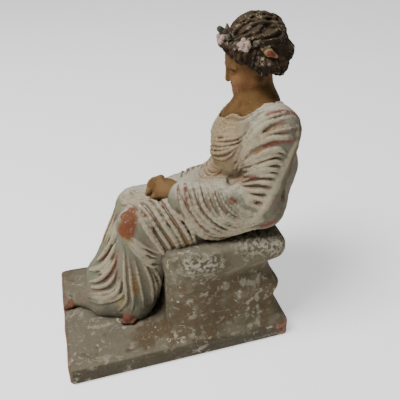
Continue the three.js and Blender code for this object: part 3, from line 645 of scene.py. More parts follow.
# Head, drawn in a frame of its own: the face looks along -X, bowed and turned a little to her right
HEAD_PLACE = drawn([59.5, 1, 161])
HEAD_BOW = math.radians(17)
HEAD_TURN = math.radians(8)
HEAD_POSE = np.array(Matrix.Rotation(-HEAD_TURN, 3, "Z") @ Matrix.Rotation(-HEAD_BOW, 3, "Y"))


def on_head(point):
    return HEAD_POSE @ np.array(point, float) + HEAD_PLACE


def head_lump(clay, centre, radii, blend):
    clay.press(ellipsoid(on_head(centre), radii, HEAD_POSE), blend)


def head_limb(clay, start, end, start_radius, end_radius, blend):
    clay.press(round_cone(on_head(start), on_head(end), start_radius, end_radius), blend)


def head_curve(places, steps):
    return curve([on_head(place) for place in places], steps)


def face(clay):
    head_lump(clay, [2, 0, 4], [16.5, 12.5, 14], 3)
    head_lump(clay, [-4, 0, -4], [10.8, 10.3, 12.5], 3)
    head_limb(clay, [-11.6, 0, -13], [-12, 0, -13], 3.4, 3.4, 3)
    head_limb(clay, [-14.2, 0, 2], [-15.8, 0, -4.6], 1, 1.7, 1.2)
    for side in (NEAR, FAR):
        head_limb(clay, [-11, side * 2, -13], [-1, side * 8.8, -8], 3, 3.6, 2.5)
        head_limb(clay, [-9.5, side * 5.6, -5.4], [-9, side * 5.6, -5.4], 4.4, 4.4, 3)
        head_limb(clay, [-13.6, side * 2.2, 3.4], [-10.8, side * 8, 2.9], 1.2, 1.2, 1.6)
        head_limb(clay, [-14.4, side * 1.4, -4.9], [-14.2, side * 1.9, -5], 1, 0.9, 0.7)
        socket = round_cone(on_head([-15.2, side * 3.8, 0.4]), on_head([-12.8, side * 7.2, 0]), 1.8, 1.6)
        clay.carve(socket, 1.5)
        head_limb(clay, [-12.3, side * 4.2, -0.4], [-11.5, side * 5.8, -0.6], 1.8, 1.6, 0.6)
        lid = head_curve([[-13.8, side * 2.8, 0.3], [-13.7, side * 4.8, 1.3], [-12, side * 7, 0]], 6)
        stroke(clay, clay.settle(lid), 0.5, 0.5)
        lash = head_curve([[-14, side * 2.8, -0.6], [-13.9, side * 4.8, -1.2], [-12.2, side * 7, -0.8]], 6)
        groove(clay, clay.settle(lash), 0.35, 0.4)
    head_limb(clay, [-14, -1.8, -8.6], [-14, 1.8, -8.6], 1.15, 1.15, 0.9)
    head_limb(clay, [-13.8, -1.4, -10], [-13.8, 1.4, -10], 1.25, 1.25, 0.9)
    mouth = head_curve([[-14, -2.9, -9.2], [-15.4, 0, -9.2], [-14, 2.9, -9.2]], 8)
    groove(clay, clay.settle(mouth), 0.4, 0.4)


def skin():
    clay = Clay(drawn([34, -32, 119]), drawn([84, 24, 182]), SKIN_CELL)
    trunk(clay)
    clay.field += SKIN_SINK * (1 - skin_share(*clay.grid())).astype(np.float32)
    neck(clay)
    face(clay)
    clay.close()
    return clay


# Hair: a crown of locks that run back, and a roll round the face with locks wound about it
CROWN_HAIR = (5.5, 0, 8.5)
CROWN_RADII = (17.5, 15.5, 16.8)
HAIR_ROLL = [(-10.8, 2, 15), (-5, 11.5, 10.5), (3, 13.5, 1.5), (11.5, 10.5, -3), (14, 3, -5)]
HAIR_ROLL_RADII = (4, 4.6, 5, 4.8, 5.6)
CROWN_LOCKS = 13
CROWN_SPREAD = 0.84 * math.pi
CROWN_LOCK_RADIUS = 1.05
LOCK_SWAY = 0.075
ROLL_LOCKS = 16
ROLL_LOCK_REACH = 5.2
ROLL_LOCK_RADIUS = 0.85
LOCK_BLEND = 0.7


def over_crown(back, across, lift=0.0):
    """A place on the crown: back runs from the forehead (0) to the nape (pi), across from ear to ear."""
    return on_head([
        CROWN_HAIR[0] - (CROWN_RADII[0] + lift) * math.cos(back),
        CROWN_HAIR[1] + (CROWN_RADII[1] + lift) * math.sin(back) * math.sin(across),
        CROWN_HAIR[2] + (CROWN_RADII[2] + lift) * math.sin(back) * math.cos(across),
    ])


def hair():
    clay = Clay(drawn([38, -24, 140]), drawn([94, 26, 192]), HAIR_CELL)
    head_lump(clay, CROWN_HAIR, CROWN_RADII, 2)
    for side in (NEAR, FAR):
        roll = [(x, side * y, z) for x, y, z in HAIR_ROLL]
        for n in range(len(roll) - 1):
            head_limb(clay, roll[n], roll[n + 1], HAIR_ROLL_RADII[n], HAIR_ROLL_RADII[n + 1], 2.5)
        head_lump(clay, [18.5, side * 5, 1.5], [5.5, 6, 5.5], 1.5)
    lines = []
    for n in range(CROWN_LOCKS):
        across = (n / (CROWN_LOCKS - 1) - 0.5) * CROWN_SPREAD
        parts = np.linspace(0, 1, 9)
        sway = LOCK_SWAY * np.sin(parts * 15 + n * 2.1)
        line = [over_crown(math.pi * (0.1 + 0.8 * p), across + s) for p, s in zip(parts, sway)]
        lines.append((trace(clay, line, 24), CROWN_LOCK_RADIUS))
    for side in (NEAR, FAR):
        path = head_curve([(x, side * y, z) for x, y, z in HAIR_ROLL], 40)
        for n in range(ROLL_LOCKS):
            at = 1 + int(n * 38 / ROLL_LOCKS)
            tangent = path[at + 1] - path[at - 1]
            tangent /= np.linalg.norm(tangent)
            out = path[at] - on_head([3, 0, 3])
            out -= tangent * (out @ tangent)
            out /= np.linalg.norm(out)
            along = np.cross(tangent, out)
            turns = np.linspace(-1.25, 1.5, 6)
            line = [
                path[at] + ROLL_LOCK_REACH * (math.cos(t) * out + math.sin(t) * along) + tangent * t * 1.7
                for t in turns
            ]
            lines.append((clay.settle(curve(line, 12)), ROLL_LOCK_RADIUS))
    for spots, radius in lines:
        stroke(clay, spots, radius, LOCK_BLEND)
    hollow_top = over_crown(0.55 * math.pi, -0.95, 1.5)
    hollow_end = over_crown(0.64 * math.pi, -0.8, 1.5)
    clay.carve(round_cone(hollow_top, hollow_end, 2.2, 1.8), 1.5)
    clay.field += bumps(clay, HAIR_BUMPS)
    clay.close()
    return clay


# Wreath: rosettes, buds and leaves tucked into the hair, on a tilted ring
WREATH_CENTRE = (4, 0, 11)
WREATH_RADIUS = 16
WREATH_DIP = 0.5
ROSETTES = (6, 62, 180, -62)
LEAF_TURNS = (-22, 30, 44, 84, 98, 140, 156, 204, -30, -44, -84, -98, -140, -156)
PETALS = 5


def on_wreath(degrees, dip=0.0, out=0.0):
    turn = math.radians(degrees)
    x = -(WREATH_RADIUS + out) * math.cos(turn)
    y = -(WREATH_RADIUS + out) * math.sin(turn)
    return np.array([WREATH_CENTRE[0] + x, y, WREATH_CENTRE[2] - WREATH_DIP * x + dip])


def wreath_clay():
    return Clay(drawn([36, -26, 150]), drawn([90, 26, 192]), WREATH_CELL)


def rosettes():
    clay = wreath_clay()
    for degrees in ROSETTES:
        centre = on_wreath(degrees)
        out = centre - np.array([WREATH_CENTRE[0] + 2, 0, WREATH_CENTRE[2] - 6])
        out /= np.linalg.norm(out)
        side = np.cross(out, [0, 0, 1.0])
        side /= np.linalg.norm(side)
        up = np.cross(side, out)
        head_lump(clay, centre - 0.6 * out, [3.4, 3.4, 3.4], 0.8)
        for n in range(PETALS):
            turn = 2 * math.pi * n / PETALS + 0.4
            edge = centre + 1.2 * out + 2.6 * (math.cos(turn) * side + math.sin(turn) * up)
            head_lump(clay, edge, [1.55, 1.55, 1.55], 0.4)
        head_lump(clay, centre + 3 * out, [1.3, 1.3, 1.3], 0.4)
    clay.close()
    return clay


def buds():
    clay = wreath_clay()
    for side in (NEAR, FAR):
        head_limb(clay, [4.6, side * 15.2, 10.6], [7.8, side * 15.8, 7.4], 0.8, 2.2, 1)
        head_limb(clay, [7.8, side * 15.8, 7.4], [11.4, side * 14.8, 3.4], 2.2, 1, 1)
    clay.close()
    return clay


def leaves():
    clay = wreath_clay()
    for n, degrees in enumerate(LEAF_TURNS):
        lift = 2.4 if n % 2 else -0.6
        tip = 9 if degrees > 0 else -9
        root = on_wreath(degrees, lift, -0.6)
        head_limb(clay, root, on_wreath(degrees + tip, lift + 2.4, 0.9), 1.7, 0.7, 0.8)
    head_limb(clay, [-10, -1.5, 20], [-12.4, -2.5, 24.5], 2.4, 1.7, 1)
    clay.close()
    return clay


# Hands and feet

def hands():
    clay = Clay(drawn([-14, -30, 82]), drawn([24, 6, 106]), SKIN_CELL)
    limb(clay, [18, -25, 94.5], [0, -12, 94.5], 6.6, 5.2, 3)
    limb(clay, [3, -13.5, 95.5], [-3, -7.5, 95], 6, 5.2, 2.5)
    limb(clay, [6, -1, 88], [-3, -3, 90], 5.5, 5, 2.5)
    for n in range(4):
        knuckle = np.array([-1.5 + 1.2 * n, -12.5 + 4.2 * n, 97.5 - 0.8 * n])
        joint = knuckle + [-4.6, 1.2, -1.6]
        tip = joint + [-2.2, 2.6, -4.6]
        limb(clay, knuckle, joint, 2.3, 2.1, 0.9)
        limb(clay, joint, tip, 2.1, 1.7, 0.7)
    limb(clay, [1, -16, 94], [-5, -13.5, 91.5], 2.6, 2, 0.9)
    clay.close()
    return clay


def feet():
    clay = Clay(drawn([-78, -26, -3]), drawn([-14, 22, 16]), SKIN_CELL)
    limb(clay, [-54, 8.5, 2.5], [-66, 8.5, 2], 5, 2.9, 3)
    limb(clay, [-24, -14, 3.5], [-30, -17.5, 2.6], 5.4, 4, 2)
    for n in range(5):
        root = np.array([-65.5 + 0.7 * n, 5.9 + 1.6 * n, 2])
        thick, thin = (1.3, 1.1) if n else (1.6, 1.3)
        limb(clay, root, root + [-5.2 + 0.7 * n, -0.2, -0.8], thick, thin, 0.8)
        near_root = np.array([-25.5 - 1.7 * n, -19.6 + 0.5 * n, 2.4])
        limb(clay, near_root, near_root + [-2.6, -2.2, -0.7], 1.2, 1, 0.7)
    clay.close()
    return clay


# Seat and slab: one moulding carried round a rectangle, worn soft, on a plate

WORN_HEIGHTS = (0, 0.12, 0.4, 0.9, 1)
WORN_INSETS = (0, 2.5, 3.2, 2.6, 3)
LONG_SIDE = 30
SIDE_WAVES = 3
SIDE_WAVE_DEPTH = 0.8
SEAT_ROUNDING = 3
SEAT_FOOTING = 8
SLAB_CORNER = 3
WORN_AWAY = 0.2


def moulding(height):
    """How far the seat's side lies in from its foot at a height above the slab."""
    waist = FOOT_FLARE
    steps = [
        (-0.2, 0), (0, 0), (0.07, waist * 0.45), (0.24, waist), (0.42, waist + 1.2 - SECOND_ROLL_DEPTH),
        (0.56, waist + 2.4), (0.67, NECK_INSET), (0.78, NECK_INSET - ROLL_DEPTH * 0.8),
        (0.87, NECK_INSET - ROLL_DEPTH), (0.96, NECK_INSET - ROLL_DEPTH * 0.8), (1.02, NECK_INSET),
    ]
    line = curve([(a, b, 0) for a, b in steps], 120)
    return np.interp(height / SEAT_HEIGHT, line[:, 0], line[:, 1])


def rounded_plate(x, y, half_x, half_y, corner):
    over_x = np.abs(x) - half_x + corner
    over_y = np.abs(y) - half_y + corner
    outside = np.hypot(np.maximum(over_x, 0), np.maximum(over_y, 0))
    return outside + np.minimum(np.maximum(over_x, over_y), 0) - corner


def rounded_meeting(a, b, radius):
    """The inside of both distances, with a rounded edge where they meet."""
    edge = np.hypot(np.maximum(a + radius, 0), np.maximum(b + radius, 0)) - radius
    return np.where((a > -radius) & (b > -radius), edge, np.maximum(a, b))


def stone():
    clay = Clay([-76, -53, -3], [78, 53, 86], STONE_CELL)
    x, y, z = clay.grid()
    height = z - SLAB_THICKNESS
    back = SLAB_LENGTH / 2 - SEAT_MARGIN
    middle = back - SEAT_LENGTH / 2
    worn_flat = np.interp(height / SEAT_HEIGHT, WORN_HEIGHTS, WORN_INSETS)
    crisp = np.where(np.abs(y) > LONG_SIDE, np.clip((x - middle + 22) / 50, 0.12, 1), 1)
    inset = worn_flat + (moulding(height) - worn_flat) * crisp
    corner = np.where(x < middle, SEAT_FRONT_CORNER, SEAT_CORNER)
    half_width = SLAB_WIDTH / 2 - SEAT_MARGIN
    side = rounded_plate(x - middle, y, SEAT_LENGTH / 2 - inset, half_width - inset, corner)
    along = (x - middle) / SEAT_LENGTH + 0.5
    band = np.sin(np.pi * np.clip((height / SEAT_HEIGHT - 0.1) / 0.52, 0, 1))
    on_long_side = np.clip((np.abs(y) - LONG_SIDE) / 8, 0, 1)
    side = side - SIDE_WAVE_DEPTH * band * np.cos(2 * np.pi * SIDE_WAVES * along) * on_long_side
    seat = rounded_meeting(side, height - SEAT_HEIGHT, SEAT_ROUNDING)
    seat = np.maximum(seat, -SEAT_FOOTING - height)
    plate = rounded_plate(x, y, SLAB_LENGTH / 2, SLAB_WIDTH / 2, SLAB_CORNER)
    slab = rounded_meeting(plate, np.maximum(z - SLAB_THICKNESS, -z), SLAB_EDGE)
    field = smooth_min(slab, seat, 2.5).astype(np.float32)
    above = np.clip((z - 1.5) / 3, 0, 1)
    worn = (bumps(clay, STONE_BUMPS) + WORN_AWAY) * above
    clay.field = np.clip(field + worn, -REACH, REACH).astype(np.float32)
    clay.close()
    return clay


# Meshes

def thinned(mesh, triangles):
    """The mesh with its flattest edges merged until it has about that many triangles."""
    holder = bpy.data.objects.new("thinning", mesh)
    bpy.context.scene.collection.objects.link(holder)
    change = holder.modifiers.new("thin", "DECIMATE")
    change.ratio = triangles / (2 * len(mesh.polygons))
    result = bpy.data.meshes.new_from_object(holder.evaluated_get(bpy.context.evaluated_depsgraph_get()))
    bpy.data.objects.remove(holder)
    bpy.data.meshes.remove(mesh)
    return result


def piece(name, clay, material, masks=None, triangles=None):
    points, quads = skin_of(clay)
    mesh = bpy.data.meshes.new(name)
    mesh.from_pydata((points / 1000).tolist(), [], quads.tolist())
    if triangles and triangles < 2 * len(quads):
        mesh = thinned(mesh, triangles)
        mesh.name = name
        points = np.empty(3 * len(mesh.vertices))
        mesh.vertices.foreach_get("co", points)
        points = points.reshape(-1, 3) * 1000
    mesh.shade_smooth()
    mesh.normals_split_custom_set_from_vertices(clay.outward(points).tolist())
    for mask, values in (masks(points) if masks else {}).items():
        attribute = mesh.attributes.new(mask, "FLOAT", "POINT")
        attribute.data.foreach_set("value", np.asarray(values, np.float32))
    mesh.materials.append(material)
    made = bpy.data.objects.new(name, mesh)
    bpy.context.scene.collection.objects.link(made)
    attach(made, "root")
    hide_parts("seated_lady_figurine")


# Materials: worked out from noise and from the masks that a piece carries

def along_route(points, route, width):
    """1 on a route of drawn places, falling to 0 at its width."""
    route = curve(np.array(route, float) + DRAWN_SHIFT, 4 * len(route))
    nearest = np.full(len(points), np.inf)
    for a, b in zip(route, route[1:]):
        axis = b - a
        part = np.clip((points - a) @ axis / max(axis @ axis, 1e-6), 0, 1)
        nearest = np.minimum(nearest, np.linalg.norm(points - a - part[:, None] * axis, axis=1))
    return np.clip(1.4 * (1 - nearest / width), 0, 1)


def painted(points, routes):
    share = np.zeros(len(points))
    for width, *route in routes:
        share = np.maximum(share, along_route(points, route, width))
    return share


def pits(clay, points, reach=3.0):
    """1 deep in a fold, 0 on an open surface."""
    return np.clip(1 - clay.at(points + reach * clay.outward(points)) / reach, 0, 1)


def edges(clay, points, reach=3.0):
    """1 on a sharp edge, 0 on a flat face."""
    return np.clip(1 + clay.at(points - reach * clay.outward(points)) / reach, 0, 1)


DRY_SHINE = 0.15


class Paint:
    """A material that is laid up one coat at a time."""

    def __init__(self, name, colour, roughness=0.9):
        self.material = bpy.data.materials.new(name)
        self.material.use_nodes = True
        self.tree = self.material.node_tree
        self.shader = self.tree.nodes["Principled BSDF"]
        self.shader.inputs["Roughness"].default_value = roughness
        self.shader.inputs["Specular IOR Level"].default_value = DRY_SHINE
        self.shader.inputs["Base Color"].default_value = (*colour, 1)
        self.place = self.tree.nodes.new("ShaderNodeTexCoord").outputs["Object"]
        self.colour = colour

    def feed(self, source, socket):
        if isinstance(source, (int, float)):
            socket.default_value = source
        elif isinstance(source, tuple):
            socket.default_value = (*source, 1)
        else:
            self.tree.links.new(source, socket)

    def work_out(self, operation, first, second=0.0):
        node = self.tree.nodes.new("ShaderNodeMath")
        node.operation = operation
        self.feed(first, node.inputs[0])
        self.feed(second, node.inputs[1])
        return node.outputs[0]

    def times(self, *shares):
        total = shares[0]
        for share in shares[1:]:
            total = self.work_out("MULTIPLY", total, share)
        return total

    def plus(self, first, second):
        return self.work_out("ADD", first, second)

    def mask(self, name):
        node = self.tree.nodes.new("ShaderNodeAttribute")
        node.attribute_name = name
        return node.outputs["Fac"]

    def noise(self, size, detail=3, distortion=0.0, shift=0.0):
        """Blotches of about a size in millimetres."""
        spot = self.place
        if shift:
            node = self.tree.nodes.new("ShaderNodeVectorMath")
            node.inputs[1].default_value = (shift, 0, 0)
            self.tree.links.new(self.place, node.inputs[0])
            spot = node.outputs[0]
        node = self.tree.nodes.new("ShaderNodeTexNoise")
        node.inputs["Scale"].default_value = 1000 / size
        node.inputs["Detail"].default_value = detail
        node.inputs["Distortion"].default_value = distortion
        self.tree.links.new(spot, node.inputs["Vector"])
        return node.outputs["Fac"]

    def rise(self, value, low, high):
        """0 below low and 1 above high, or the other way round when low is the greater."""
        node = self.tree.nodes.new("ShaderNodeMapRange")
        node.interpolation_type = "SMOOTHSTEP"
        self.feed(value, node.inputs["Value"])
        node.inputs["From Min"].default_value = min(low, high)
        node.inputs["From Max"].default_value = max(low, high)
        node.inputs["To Min"].default_value = 0 if low < high else 1
        node.inputs["To Max"].default_value = 1 if low < high else 0
        return node.outputs["Result"]

    def scratches(self, size, thickness, shift=0.0):
        """Thin wandering lines."""
        middle = self.work_out("SUBTRACT", self.noise(size, 4, 0.6, shift), 0.5)
        return self.rise(self.work_out("ABSOLUTE", middle), thickness, 0)

    def blotches(self, low, high, *noise):
        """Blotches with clear ground between them."""
        return self.rise(self.noise(*noise), low, high)

    def coat(self, colour, *shares):
        """Lays a colour over what is there already, by shares from 0 to 1 that are multiplied."""
        node = self.tree.nodes.new("ShaderNodeMix")
        node.data_type = "RGBA"
        self.feed(self.times(*shares), node.inputs["Factor"])
        self.feed(self.colour, node.inputs[6])
        self.feed(colour, node.inputs[7])
        self.colour = node.outputs[2]

    def finish(self, *bumps):
        """Joins the coats to the shader, with bumps of a height and a depth in millimetres."""
        self.tree.links.new(self.colour, self.shader.inputs["Base Color"])
        normal = None
        for height, depth in bumps:
            node = self.tree.nodes.new("ShaderNodeBump")
            node.inputs["Distance"].default_value = depth / 1000
            self.tree.links.new(height, node.inputs["Height"])
            if normal:
                self.tree.links.new(normal, node.inputs["Normal"])
            normal = node.outputs["Normal"]
        if normal:
            self.tree.links.new(normal, self.shader.inputs["Normal"])
        return self.material


# Colours, as the share of red, green and blue light that they give back
PALE_SLIP = (0.173, 0.146, 0.104)
PAINTED_TOP_LIGHT = (0.486, 0.444, 0.341)
ORANGE_PAINT = (0.15, 0.043, 0.016)
WHITE_SLIP_AND_HIGHLIGHT = (0.36, 0.312, 0.211)
GREY_SLIP = (0.147, 0.152, 0.106)
CREAM_SLIP = (0.246, 0.148, 0.056)
FOLD_BROWN = (0.17, 0.13, 0.085)
WORN_CLAY = (0.22, 0.11, 0.06)
RED_PAINT = (0.15, 0.042, 0.028)
PINK_PAINT = (0.3, 0.175, 0.135)
PAINTED_SHADE_GREY = (0.095, 0.09, 0.063)
OCHRE_PAINT = (0.21, 0.11, 0.035)
GREEN_PAINT = (0.22, 0.19, 0.07)
DARK_SPECK = (0.06, 0.05, 0.04)
SKIN_TONE = (0.109, 0.055, 0.017)
SKIN_LIGHT = (0.144, 0.08, 0.027)
SKIN_DARK = (0.066, 0.027, 0.007)
HAIR_DARK = (0.013, 0.008, 0.004)
HAIR_BROWN = (0.035, 0.018, 0.008)
HAIR_OLIVE = (0.085, 0.062, 0.035)
HAIR_FLECK = (0.40, 0.33, 0.24)
ROSETTE_PINK = (0.36, 0.25, 0.22)
LEAF_DARK = (0.05, 0.05, 0.033)
SEAT_OLIVE = (0.092, 0.077, 0.046)
SEAT_GREY = (0.127, 0.109, 0.069)
SEAT_BROWN = (0.087, 0.057, 0.029)
SEAT_SCUFF = (0.40, 0.365, 0.29)
SEAT_PALE = (0.425, 0.391, 0.306)
SEAT_DUST_AND_TOP_LIGHT = (0.209, 0.182, 0.136)
SEAT_DARK = (0.05, 0.042, 0.03)
SLAB_RED = (0.27, 0.1, 0.07)
CHEEK_WARM = (0.24, 0.105, 0.045)
LIP_RED = (0.27, 0.085, 0.05)
BROW_DARK = (0.09, 0.055, 0.03)
HAND_TONE = (0.2, 0.115, 0.05)
FOOT_TONE = (0.13, 0.05, 0.036)
FLOOR_WHITE = (0.88, 0.88, 0.88)
FLOOR_SHADE = (0.86, 0.86, 0.86)
FLOOR_GLOW = 0.75

# Where paint is left on the cloth: each route has a width and drawn places that it passes
RED_ROUTES = [
    (2.6, [57, -32, 142], [66, -33, 143], [76, -30, 137]),
    (2.2, [58, -37, 133], [67, -39, 135], [76, -34, 131]),
    (2.6, [53, -38, 127], [60, -41, 130], [72, -39, 129]),
    (1.6, [47, -29, 110], [52, -38, 116], [58, -41, 118]),
    (1.6, [46, -33, 106], [51, -39, 108], [56, -41, 109]),
    (2.2, [29, -38, 70], [37, -40, 67], [43, -39, 67], [49, -38, 72]),
    (2.6, [52, -44, 78], [59, -45, 80]),
    (1.5, [7, -24, 103], [6, -29, 100], [7, -33, 94], [11, -36, 82], [17, -38, 72]),
    (1.5, [11, -25, 104], [10, -31, 100], [11, -35, 92], [15, -37, 82], [21, -39, 74]),
    (2.2, [34, -40, 98], [37, -40, 96]),
    (1.6, [30, -40, 84], [37, -41, 82], [44, -42, 83]),
    (2.6, [-4, -22, 91], [-2, -24, 90]),
    (2.4, [-19, -17, 89], [-16, -24, 89], [-12, -28, 87]),
    (2.0, [-29, -14, 66], [-31, -8, 54], [-33, -8, 42], [-37, -6, 33], [-44, 1, 25]),
    (1.8, [-24, -27, 70], [-22, -26, 58]),
    (2.2, [-56, 3, 8], [-50, -1, 5]),
]
ORANGE_ROUTES = [
    (8.0, [-23, -24, 90], [-23, -27, 86], [-25, -28, 81]),
]
OCHRE_ROUTES = [
    (2.6, [52, -36, 130], [57, -38, 136], [64, -38, 136]),
    (2.2, [46, -33, 122], [52, -37, 123], [56, -40, 125]),
    (2.6, [71, -38, 124], [71, -38, 111], [68, -40, 100], [65, -41, 92]),
    (3.0, [-24, -24, 44], [-23, -22, 27]),
    (3.0, [-38, 14, 50], [-37, 7, 44]),
    (1.8, [0, -30, 84], [6, -35, 74], [10, -35, 68]),
]
GREEN_ROUTES = [
    (3.2, [-32, -14, 18], [-35, -11, 5]),
    (3.0, [-24, 11, 77], [-26, 11, 71]),
    (3.6, [27, -30, 107], [33, -31, 108], [38, -25, 108]),
    (4.5, [-26, -29, 77], [-25, -29, 71]),
]
# Painted shade, not paint: the back panel turned away from the light and the hem low by the floor are
# darkened
PAINTED_SHADE_ROUTES = [
    (11.0, [76, -33, 128], [74, -36, 112], [66, -41, 92], [56, -43, 78]),
    (9.0, [-58, 6, 10], [-44, -8, 8], [-30, -16, 8], [-14, -18, 12]),
]
CREAM_ROUTES = [
    (22.0, [46, -4, 132], [38, -8, 118], [34, -12, 108]),
]


# How far a ridge stands out of the bare body, and the heights between which the painted top light on the
# cloth grows stronger
RIDGE_HEIGHT = 2.6
TOP_LIGHT_HEIGHTS = (12, 80)
TOP_LIGHT_SHARES = (0.3, 1)


def facing_up(clay, points):
    return np.clip(clay.outward(points)[:, 2], 0, 1)


def cloth_masks(points):
    return {
        "ridge": np.clip(sample(cloth_clay, bare_field, points) / RIDGE_HEIGHT + 0.5, 0, 1),
        "upward": facing_up(cloth_clay, points) * np.interp(points[:, 2], TOP_LIGHT_HEIGHTS, TOP_LIGHT_SHARES),
        "pit": pits(cloth_clay, points),
        "painted_shade": painted(points, PAINTED_SHADE_ROUTES),
        "red": painted(points, RED_ROUTES),
        "orange": painted(points, ORANGE_ROUTES),
        "ochre": painted(points, OCHRE_ROUTES),
        "green": painted(points, GREEN_ROUTES),
        "cream": painted(points, CREAM_ROUTES),
    }


def cloth_paint():
    paint = Paint("worn painted cloth", PALE_SLIP)
    grain = paint.noise(1.6, 4)
    pit = paint.mask("pit")
    ridge = paint.mask("ridge")
    paint.coat(GREY_SLIP, paint.blotches(0.42, 0.62, 14, 3))
    # Painted top light: cloth faces turned up are made paler, more so higher up
    paint.coat(PAINTED_TOP_LIGHT, paint.rise(paint.mask("upward"), 0.3, 1.0), 0.85)
    broken = paint.noise(5, 4, 0.4, 3)
    # Pale slip left on the fold crests, and with it a painted highlight along the ridges
    paint.coat(WHITE_SLIP_AND_HIGHLIGHT, paint.rise(paint.plus(ridge, paint.times(broken, 0.5)), 0.85, 1.15), 0.8)
    paint.coat(CREAM_SLIP, paint.mask("cream"), paint.rise(grain, 0.2, 0.6), 0.75)
    paint.coat(WORN_CLAY, paint.blotches(0.55, 0.66, 7, 5, 0.5, 7), 0.22)
    # Painted shade: grey darkening over the back panel and the low hem
    paint.coat(PAINTED_SHADE_GREY, paint.mask("painted_shade"), paint.rise(broken, 0.3, 0.6), 0.75)
    # Painted shade: brown darkening deep in the hollows between folds
    hollow_shade = paint.rise(paint.plus(pit, paint.times(paint.noise(4, 4, 0, 11), 0.7)), 0.6, 1.1)
    paint.coat(FOLD_BROWN, hollow_shade, 0.55)
    mottled = paint.blotches(0.53, 0.62, 1.5, 4, 0.3, 31)
    paint.coat(FOLD_BROWN, mottled, paint.blotches(0.35, 0.55, 10, 3, 0, 32), 0.55)
    rusty = paint.blotches(0.48, 0.6, 8, 4, 0.4, 21)
    paint.coat(WORN_CLAY, rusty, paint.rise(pit, 0.25, 0.7), 0.7)
    flaked = paint.blotches(0.33, 0.5, 2.5, 4, 0.5, 5)
    low = paint.rise(ridge, 1.0, 0.8)
    paint.coat(OCHRE_PAINT, paint.mask("ochre"), flaked, 0.9)
    paint.coat(GREEN_PAINT, paint.mask("green"), flaked, 0.7)
    paint.coat(RED_PAINT, paint.mask("red"), flaked, low, 0.95)
    knee = paint.rise(paint.plus(paint.mask("orange"), paint.times(broken, 0.6)), 0.55, 1.0)
    paint.coat(ORANGE_PAINT, knee, paint.rise(grain, 0.2, 0.42), 0.92)
    paint.coat(PINK_PAINT, paint.blotches(0.6, 0.68, 9, 4, 0.3, 9), 0.22)
    paint.coat(DARK_SPECK, paint.blotches(0.66, 0.72, 1.1, 2, 0, 13), 0.75)
    paint.coat(FOLD_BROWN, paint.scratches(6, 0.012, 17), 0.45)
    return paint.finish((grain, 0.35), (paint.noise(0.6, 2), 0.12))


def head_routes(routes):
    return [(width, *[on_head(place) - DRAWN_SHIFT for place in route]) for width, *route in routes]


def skin_masks(points):
    dark = []
    for side in (NEAR, FAR):
        dark.append((0.7, [-13.4, side * 2.8, 3.6], [-13.2, side * 5, 4.6], [-11.2, side * 7.8, 3.6]))
        dark.append((0.5, [-14, side * 2.8, 0.1], [-13.9, side * 4.8, 0.9], [-12.2, side * 7, 0]))
    lips = [(1.3, [-14.6, -2.4, -9.3], [-15, 0, -9.3], [-14.6, 2.4, -9.3])]
    cheeks = [(8.0, [-11, side * 6, -7], [-8, side * 8.5, -6]) for side in (NEAR, FAR)]
    return {
        "pit": pits(skin_clay, points),
        "dark": painted(points, head_routes(dark)),
        "lips": painted(points, head_routes(lips)),
        "cheek": painted(points, head_routes(cheeks)),
    }


def skin_paint(name, tone):
    paint = Paint(name, tone, 0.75)
    grain = paint.noise(1.8, 4)
    paint.coat(SKIN_LIGHT, paint.blotches(0.42, 0.66, 12, 4), 0.75)
    paint.coat(SKIN_DARK, paint.blotches(0.5, 0.68, 7, 4, 0.3, 3), 0.6)
    paint.coat(CHEEK_WARM, paint.mask("cheek"), 0.75)
    # Painted shade: skin darkened in its hollows, such as under the hair at the nape and between fingers and
    # toes
    hollow_shade = paint.rise(paint.plus(paint.mask("pit"), paint.times(grain, 0.4)), 0.45, 1.0)
    paint.coat(SKIN_DARK, hollow_shade, 0.4)
    paint.coat(LIP_RED, paint.mask("lips"), 0.7)
    paint.coat(BROW_DARK, paint.mask("dark"), 0.75)
    flecks = paint.times(paint.blotches(0.66, 0.72, 1.0, 2, 0, 5), paint.blotches(0.5, 0.6, 8, 2, 0, 8))
    paint.coat(WHITE_SLIP_AND_HIGHLIGHT, flecks, 0.7)
    paint.coat(SKIN_DARK, paint.blotches(0.7, 0.76, 0.8, 2, 0, 15), 0.6)
    return paint.finish((grain, 0.15), (paint.noise(0.5, 2), 0.06))


def hair_masks(points):
    blots = [
        (1.7, [-4, -10, 25.4], [-3.2, -9.6, 26.4]),
        (1.7, [0.4, -10, 27], [1.4, -9.6, 27.8]),
        (1.6, [16, -9, 21], [17, -9, 19.6]),
    ]
    return {
        "pit": pits(hair_clay, points, 1.6),
        "upward": np.clip(hair_clay.outward(points)[:, 2] * 0.5 + 0.5, 0, 1),
        "blot": painted(points, head_routes(blots)),
    }


def hair_paint():
    paint = Paint("dark painted hair", HAIR_DARK, 0.8)
    ridge = paint.work_out("SUBTRACT", 1.0, paint.mask("pit"))
    paint.coat(HAIR_BROWN, paint.blotches(0.42, 0.62, 9, 4, 0.3))
    # Painted shade: the hollows between the locks are darkened
    paint.coat(HAIR_DARK, paint.rise(ridge, 0.75, 0.3), 0.8)
    # Painted top light: hair faces turned up are made a lighter olive
    paint.coat(HAIR_OLIVE, paint.rise(paint.mask("upward"), 0.5, 1.0), 0.7)
    clusters = paint.blotches(0.48, 0.62, 8, 3, 0.2, 4)
    flecks = paint.blotches(0.58, 0.65, 0.9, 3, 0.4, 6)
    paint.coat(HAIR_FLECK, clusters, flecks, paint.rise(ridge, 0.45, 0.85), 0.6)
    patches = paint.blotches(0.6, 0.66, 3, 4, 0.8, 9)
    paint.coat(HAIR_FLECK, patches, paint.rise(paint.mask("upward"), 0.35, 0.95), 0.6)
    paint.coat(HAIR_FLECK, paint.mask("blot"), paint.blotches(0.3, 0.5, 1.5, 3, 0, 30))
    return paint.finish((paint.noise(1.4, 4), 0.5), (paint.noise(0.5, 2), 0.12))


